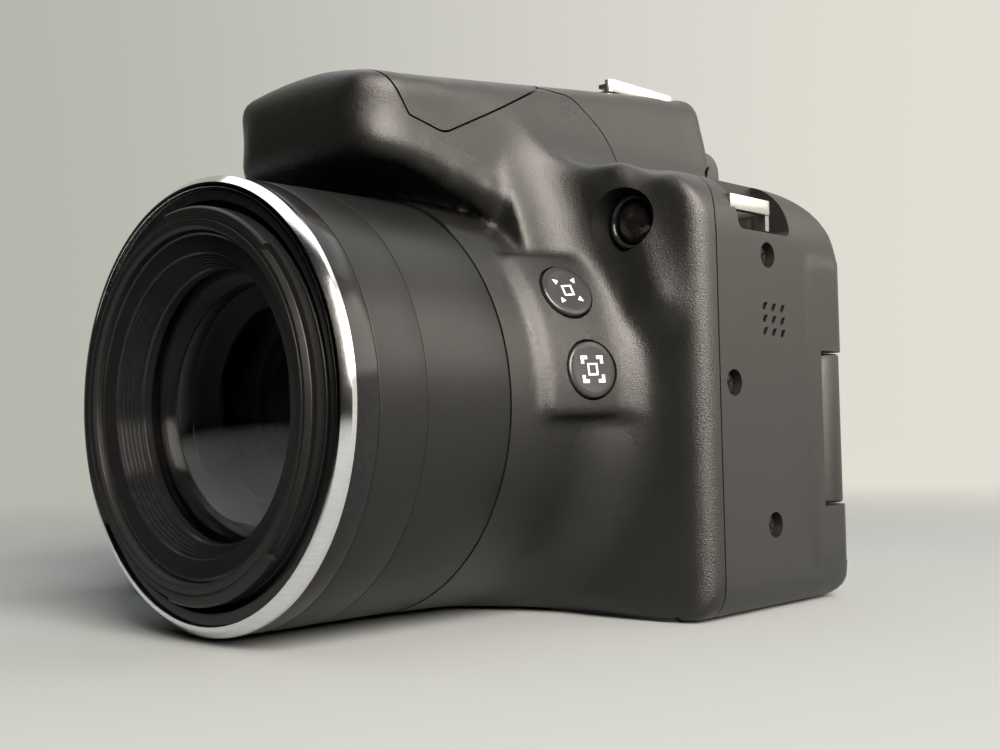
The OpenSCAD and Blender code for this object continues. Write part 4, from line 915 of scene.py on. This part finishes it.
class CAMERA_OT_back(bpy.types.Operator):
    """Eyepiece, screen, rear buttons and control wheel"""

    bl_idname = "camera.back"
    bl_label = "Rear pieces"

    def execute(self, context):
        rim = shift([(-14, EYE - 8.4, 5), (14, EYE - 8.4, 5), (14, EYE + 8.2, 5), (-14, EYE + 8.2, 5)], LX)
        cushion = carve(prism(rim, "y", 46.2, 52.75), prism(rim, "y", 40, 60, d=2.2), prism(rim, "y", 51.6, 60, d=1.2))
        show(edged(cushion, 0.45, 3), "Eyecup", "body", "eyecup_rubber", "eyecup")
        at = spot("+x", LX + 16.5, *DIOPTER)
        knob = lathe("knob", [(0, -5, 0), (0.6, -5, 0), (0.6, -0.7, 0), (3.9, -0.7, 0), (3.9, 1, 0.3),
                              (0, 0.9, 0)], at, 48)
        show(ribbed(knob, 4.2, 0.4, 24, at, -0.6, 0.75), "DiopterDial", "diopter",
             "black_plastic", "diopter_dial")
        self.screen()
        for name, (x, z) in REAR_BUTTONS.items():
            size = 3.4 if name == "movie" else 2.8
            slot = "movie_red" if name == "movie" else "button_black"
            disc(name.title() + "Button", [(0, -2.6, 0), (size, -2.6, 0), (size, 0.6, 0.35), (size - 0.9, 0.62, 0.2),
                                           (0, 0.5, 0)], spot("+y", x, REAR, z), name, slot, name + "_button", steps=48)
        at = spot("+y", WHEEL[0], REAR, WHEEL[1])
        wheel = lathe("wheel", [(5.9, -3, 0), (10.6, -3, 0.2), (10.6, 1, 0.5), (9.4, 1, 0.2), (6.5, 0.6, 0.2),
                                (5.9, 0.6, 0.2)], at, 96)
        show(ribbed(wheel, 11, 0.5, 32, at, -2.4, 0.4), "ControlWheel", "wheel",
             "black_plastic", "control_wheel")
        disc("SetButton", [(0, -5.4, 0), (3.8, -5.4, 0), (3.8, -1.6, 0), (5.5, -1.6, 0.2), (5.5, 0.8, 0.4),
                           (4.4, 0.82, 0.2), (0, 0.6, 0)], at, "set", "button_black", "set_button")
        return {"FINISHED"}

    @staticmethod
    def screen():
        shell = carve(
            prism([(-14, 6.1, 2.5), (53.1, 6.1, 2.5), (53.1, 52.3, 2.5), (-14, 52.3, 2.5)], "y", 34, REAR),
            box((-11, REAR - 1.2, 8.7), (50.1, 60, 49.7)), rod("x", 1.62, (36.8, 26.6), 46.9, 60))
        show(edged(shell, 0.4, 3), "ScreenShell", "screen", "matte_plastic", "lcd_shell")
        show(box((-10.95, REAR - 1.2, 8.75), (50.05, REAR - 0.1, 49.65), 0.12), "ScreenGlass", "screen", "screen_glass",
             "lcd_glass")
        arm = unite(
            lathe("arm", [(0, -14.2, 0), (1.4, -14.2, 0), (1.4, -11.7, 0), (3.7, -11.7, 0.5), (3.7, 11.7, 0.5),
                          (1.4, 11.7, 0), (1.4, 14.2, 0), (0, 14.2, 0)], spot("+z", *HINGE, 26.6), 64),
            box((53.15, 34.9, 16.9), (57.4, 39.2, 36.3), 0.3), rod("x", 1.6, (36.8, 26.6), 47.1, 54.1))
        show(arm, "ScreenArm", "screen", "matte_plastic", "lcd_arm")


class CAMERA_OT_inner(bpy.types.Operator):
    """Finishes of the pieces that keep the frame's own shape"""

    bl_idname = "camera.inner"
    bl_label = "Inner pieces"

    def execute(self, context):
        slots = {part["node"]: part["material_slot"] for part in frame["record"]["subparts"]}
        for name, obj in frame["nodes"].items():
            obj.data.materials.clear()
            obj.data.materials.append(finish("frosted" if name == "flash_window" else slots[name]))
            if name in ("base_plate", "battery_door", "port_door", "battery", "memory_card"):
                modifier(obj, "BEVEL", width=0.25 * MM, segments=2, limit_method="ANGLE", angle_limit=math.radians(50))
        return {"FINISHED"}


class CAMERA_OT_stage(bpy.types.Operator):
    """Floor, backdrop, lights and camera"""

    bl_idname = "camera.stage"
    bl_label = "Stage"

    def execute(self, context):
        stage = context.scene.camera_stage
        scene = context.scene
        scene.view_settings.view_transform = "Standard"
        eye = bpy.data.objects.new("Eye", bpy.data.cameras.new("Eye"))
        scene.collection.objects.link(eye)
        eye.data.sensor_width, eye.data.lens = 36, stage.focal
        eye.data.clip_start, eye.data.clip_end = 0.01, 20
        eye.matrix_world = aimed(stage)
        scene.camera = eye
        paper = backdrop(stage)
        half, near, far, high = 2600, 2400, 2450, 3000
        floor = box((-half, -half, -2), (half, half, -0.05), name="Floor")
        ring = [(near, -5, 0), (far, -5, 0), (far, high, 0), (near, high, 0)]
        wall = lathe("Backdrop", ring, Matrix.Identity(4), 96)
        for obj in (floor, wall):
            obj.data.materials.append(paper)
        lamp("Key", (0.73, -0.27, 0.46), (0.0, 0.0, 0.03), 0.6, stage.key)
        lamp("Side", (0.78, 0.65, 0.54), (0.03, 0.0, 0.04), 0.6, stage.side)
        lamp("Top", (-0.2, 0.2, 0.95), (-0.2, 0.2, 0.0), 1.3, stage.top, (1.0, 1.0, 1.0))
        return {"FINISHED"}


def lamp(name, place, target, size, power, tone=(1.0, 0.92, 0.82)):
    """A soft square light aimed at a point."""
    data = bpy.data.lights.new(name, "AREA")
    data.shape, data.size, data.energy, data.color = "SQUARE", size, power, tone
    obj = bpy.data.objects.new(name, data)
    bpy.context.scene.collection.objects.link(obj)
    obj.location = place
    obj.rotation_euler = (Vector(target) - Vector(place)).to_track_quat("-Z", "Y").to_euler()
    return obj


def ramp(tree, source, *stops):
    """A colour ramp, its stops given as a place and a tone."""
    made = node(tree, "ValToRGB")
    for _ in stops[2:]:
        made.color_ramp.elements.new(0.5)
    for element, (place, tone) in zip(made.color_ramp.elements, stops):
        element.position, element.color = place, (*tone, 1)
    tree.links.new(source, made.inputs["Fac"])
    return made.outputs["Color"]


def share(tree, where, aim, low, high):
    """How far a point lies towards an aim, from 0 to 1 between two limits."""
    dot = node(tree, "VectorMath", operation="DOT_PRODUCT")
    dot.inputs[1].default_value = aim
    tree.links.new(where, dot.inputs[0])
    ranged = node(tree, "MapRange", interpolation_type="SMOOTHSTEP", From_Min=low, From_Max=high)
    tree.links.new(dot.outputs["Value"], ranged.inputs["Value"])
    return ranged.outputs["Result"]


def backdrop(stage):
    """Pale paper that takes shadows near the part; far behind it, the paper glows with painted light instead, a sweep
    from darker on one side to lighter on the other, seen by the view and in reflections.
    """
    mat = bpy.data.materials.new("paper")
    mat.use_nodes = True
    tree = mat.node_tree
    tree.nodes.clear()
    link = tree.links.new
    out, blend = node(tree, "OutputMaterial"), node(tree, "MixShader")
    near, far = node(tree, "BsdfDiffuse", Color=(0.27, 0.285, 0.29, 1)), node(tree, "Emission")
    where = node(tree, "TexCoord")
    size, aim = [node(tree, "VectorMath", operation=kind) for kind in ("LENGTH", "NORMALIZE")]
    link(where.outputs["Object"], size.inputs[0])
    link(where.outputs["Object"], aim.inputs[0])
    c, s = math.cos(stage.azimuth), math.sin(stage.azimuth)
    # Painted light: the far glow is darker towards one side and lighter towards the other, as if light fell from that
    # side
    across = share(tree, aim.outputs["Vector"], (c, s, 0), -0.42, 0.42)
    painted_sweep = ramp(tree, across, (0.0, (0.47, 0.47, 0.42)), (0.5, (0.62, 0.61, 0.56)), (1.0, (0.76, 0.73, 0.66)))
    # Painted reflection: reflections see the glow strongly behind the part and dimly towards the front
    behind = share(tree, aim.outputs["Vector"], (0, 1, 0), -0.55, 0.3)
    path = node(tree, "LightPath")
    glints, dim, power = [node(tree, "Math", operation=kind) for kind in ("MAXIMUM", "MULTIPLY", "MAXIMUM")]
    link(path.outputs["Is Glossy Ray"], glints.inputs[0])
    link(path.outputs["Is Transmission Ray"], glints.inputs[1])
    link(glints.outputs["Value"], dim.inputs[0])
    link(behind, dim.inputs[1])
    link(path.outputs["Is Camera Ray"], power.inputs[0])
    link(dim.outputs["Value"], power.inputs[1])
    link(painted_sweep, far.inputs["Color"])
    link(power.outputs["Value"], far.inputs["Strength"])
    # Near the part the paper takes real light and shadow; further out it turns into the painted glow
    fade = node(tree, "MapRange", interpolation_type="SMOOTHSTEP", From_Min=0.12, From_Max=0.42)
    link(size.outputs["Value"], fade.inputs["Value"])
    link(fade.outputs["Result"], blend.inputs["Fac"])
    link(near.outputs["BSDF"], blend.inputs[1])
    link(far.outputs["Emission"], blend.inputs[2])
    link(blend.outputs["Shader"], out.inputs["Surface"])
    return mat


def aimed(stage):
    """The camera's place, from its azimuth, elevation and roll."""
    az, el, roll = stage.azimuth, stage.elevation, stage.roll
    ahead = Vector((-math.sin(az) * math.cos(el), math.cos(az) * math.cos(el), -math.sin(el)))
    right = ahead.cross(Vector((0, 0, 1))).normalized()
    up = right.cross(ahead)
    c, s = math.cos(roll), math.sin(roll)
    right, up = c * right + s * up, c * up - s * right
    turn = Matrix((right, up, -ahead)).transposed().to_4x4()
    return Matrix.Translation(stage.eye) @ turn


class CameraBody(bpy.types.PropertyGroup):
    """Sizes of the covers and the lens"""

    blend: FloatProperty(name="Blend", description="Radius of the fillets between the forms", default=0.005,
                         unit="LENGTH")
    cell: FloatProperty(name="Cell", description="Mesh size of the covers", default=0.0006, unit="LENGTH")
    wall: FloatProperty(name="Wall", description="Thickness of the covers", default=0.002, unit="LENGTH")
    seam: FloatProperty(name="Seam", description="Open gap between two covers", default=0.00026, unit="LENGTH")
    lens_steps: IntProperty(name="Lens steps", description="Steps round the lens", default=160)


class CameraFinish(bpy.types.PropertyGroup):
    """Look of the surfaces"""

    grain_depth: FloatProperty(name="Grain depth", description="Strength of the moulded grain", default=1.0)
    gloss: FloatProperty(name="Gloss", description="Strength of reflections on plastic", default=0.5)


class CameraStage(bpy.types.PropertyGroup):
    """View of the part"""

    focal: FloatProperty(name="Focal length", description="Focal length in millimetres", default=46.4)
    eye: FloatVectorProperty(name="Eye", description="Place of the viewer", default=(0.162, -0.1473, 0.0273),
                             subtype="TRANSLATION")
    azimuth: FloatProperty(name="Azimuth", description="Turn round the part", default=math.radians(43.34),
                           subtype="ANGLE")
    elevation: FloatProperty(name="Elevation", description="Height of the view", default=math.radians(-2.47),
                             subtype="ANGLE")
    roll: FloatProperty(name="Roll", description="Lean of the view", default=math.radians(-1.22), subtype="ANGLE")
    key: FloatProperty(name="Key", description="Power of the soft light beside the view", default=27.0)
    side: FloatProperty(name="Side", description="Power of the soft light behind the side", default=5.5)
    top: FloatProperty(name="Top", description="Power of the soft light above", default=8.0)


class CAMERA_PT_panel(bpy.types.Panel):
    """Builds the camera from the sidebar"""

    bl_idname = "CAMERA_PT_panel"
    bl_label = "Bridge camera"
    bl_space_type = "VIEW_3D"
    bl_region_type = "UI"
    bl_category = "Camera"

    def draw(self, context):
        for group in (context.scene.camera_body, context.scene.camera_finish, context.scene.camera_stage):
            for key in group.__annotations__:
                self.layout.prop(group, key)
        for operator in STEPS:
            self.layout.operator(operator.bl_idname)


STEPS = (CAMERA_OT_covers, CAMERA_OT_lens, CAMERA_OT_framing, CAMERA_OT_side, CAMERA_OT_top, CAMERA_OT_back,
         CAMERA_OT_inner, CAMERA_OT_stage)
GROUPS = {"camera_body": CameraBody, "camera_finish": CameraFinish, "camera_stage": CameraStage}


def register():
    for group in GROUPS.values():
        bpy.utils.register_class(group)
    for name, group in GROUPS.items():
        setattr(bpy.types.Scene, name, PointerProperty(type=group))
    for cls in (*STEPS, CAMERA_PT_panel):
        bpy.utils.register_class(cls)


def unregister():
    for cls in (CAMERA_PT_panel, *reversed(STEPS)):
        bpy.utils.unregister_class(cls)
    for name, group in GROUPS.items():
        delattr(bpy.types.Scene, name)
        bpy.utils.unregister_class(group)


def main():
    register()
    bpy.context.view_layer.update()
    for operator in STEPS:
        group, name = operator.bl_idname.split(".")
        if getattr(getattr(bpy.ops, group), name)() != {"FINISHED"}:
            raise RuntimeError(operator.bl_label + " did not finish")


if __name__ == "__main__":
    main()
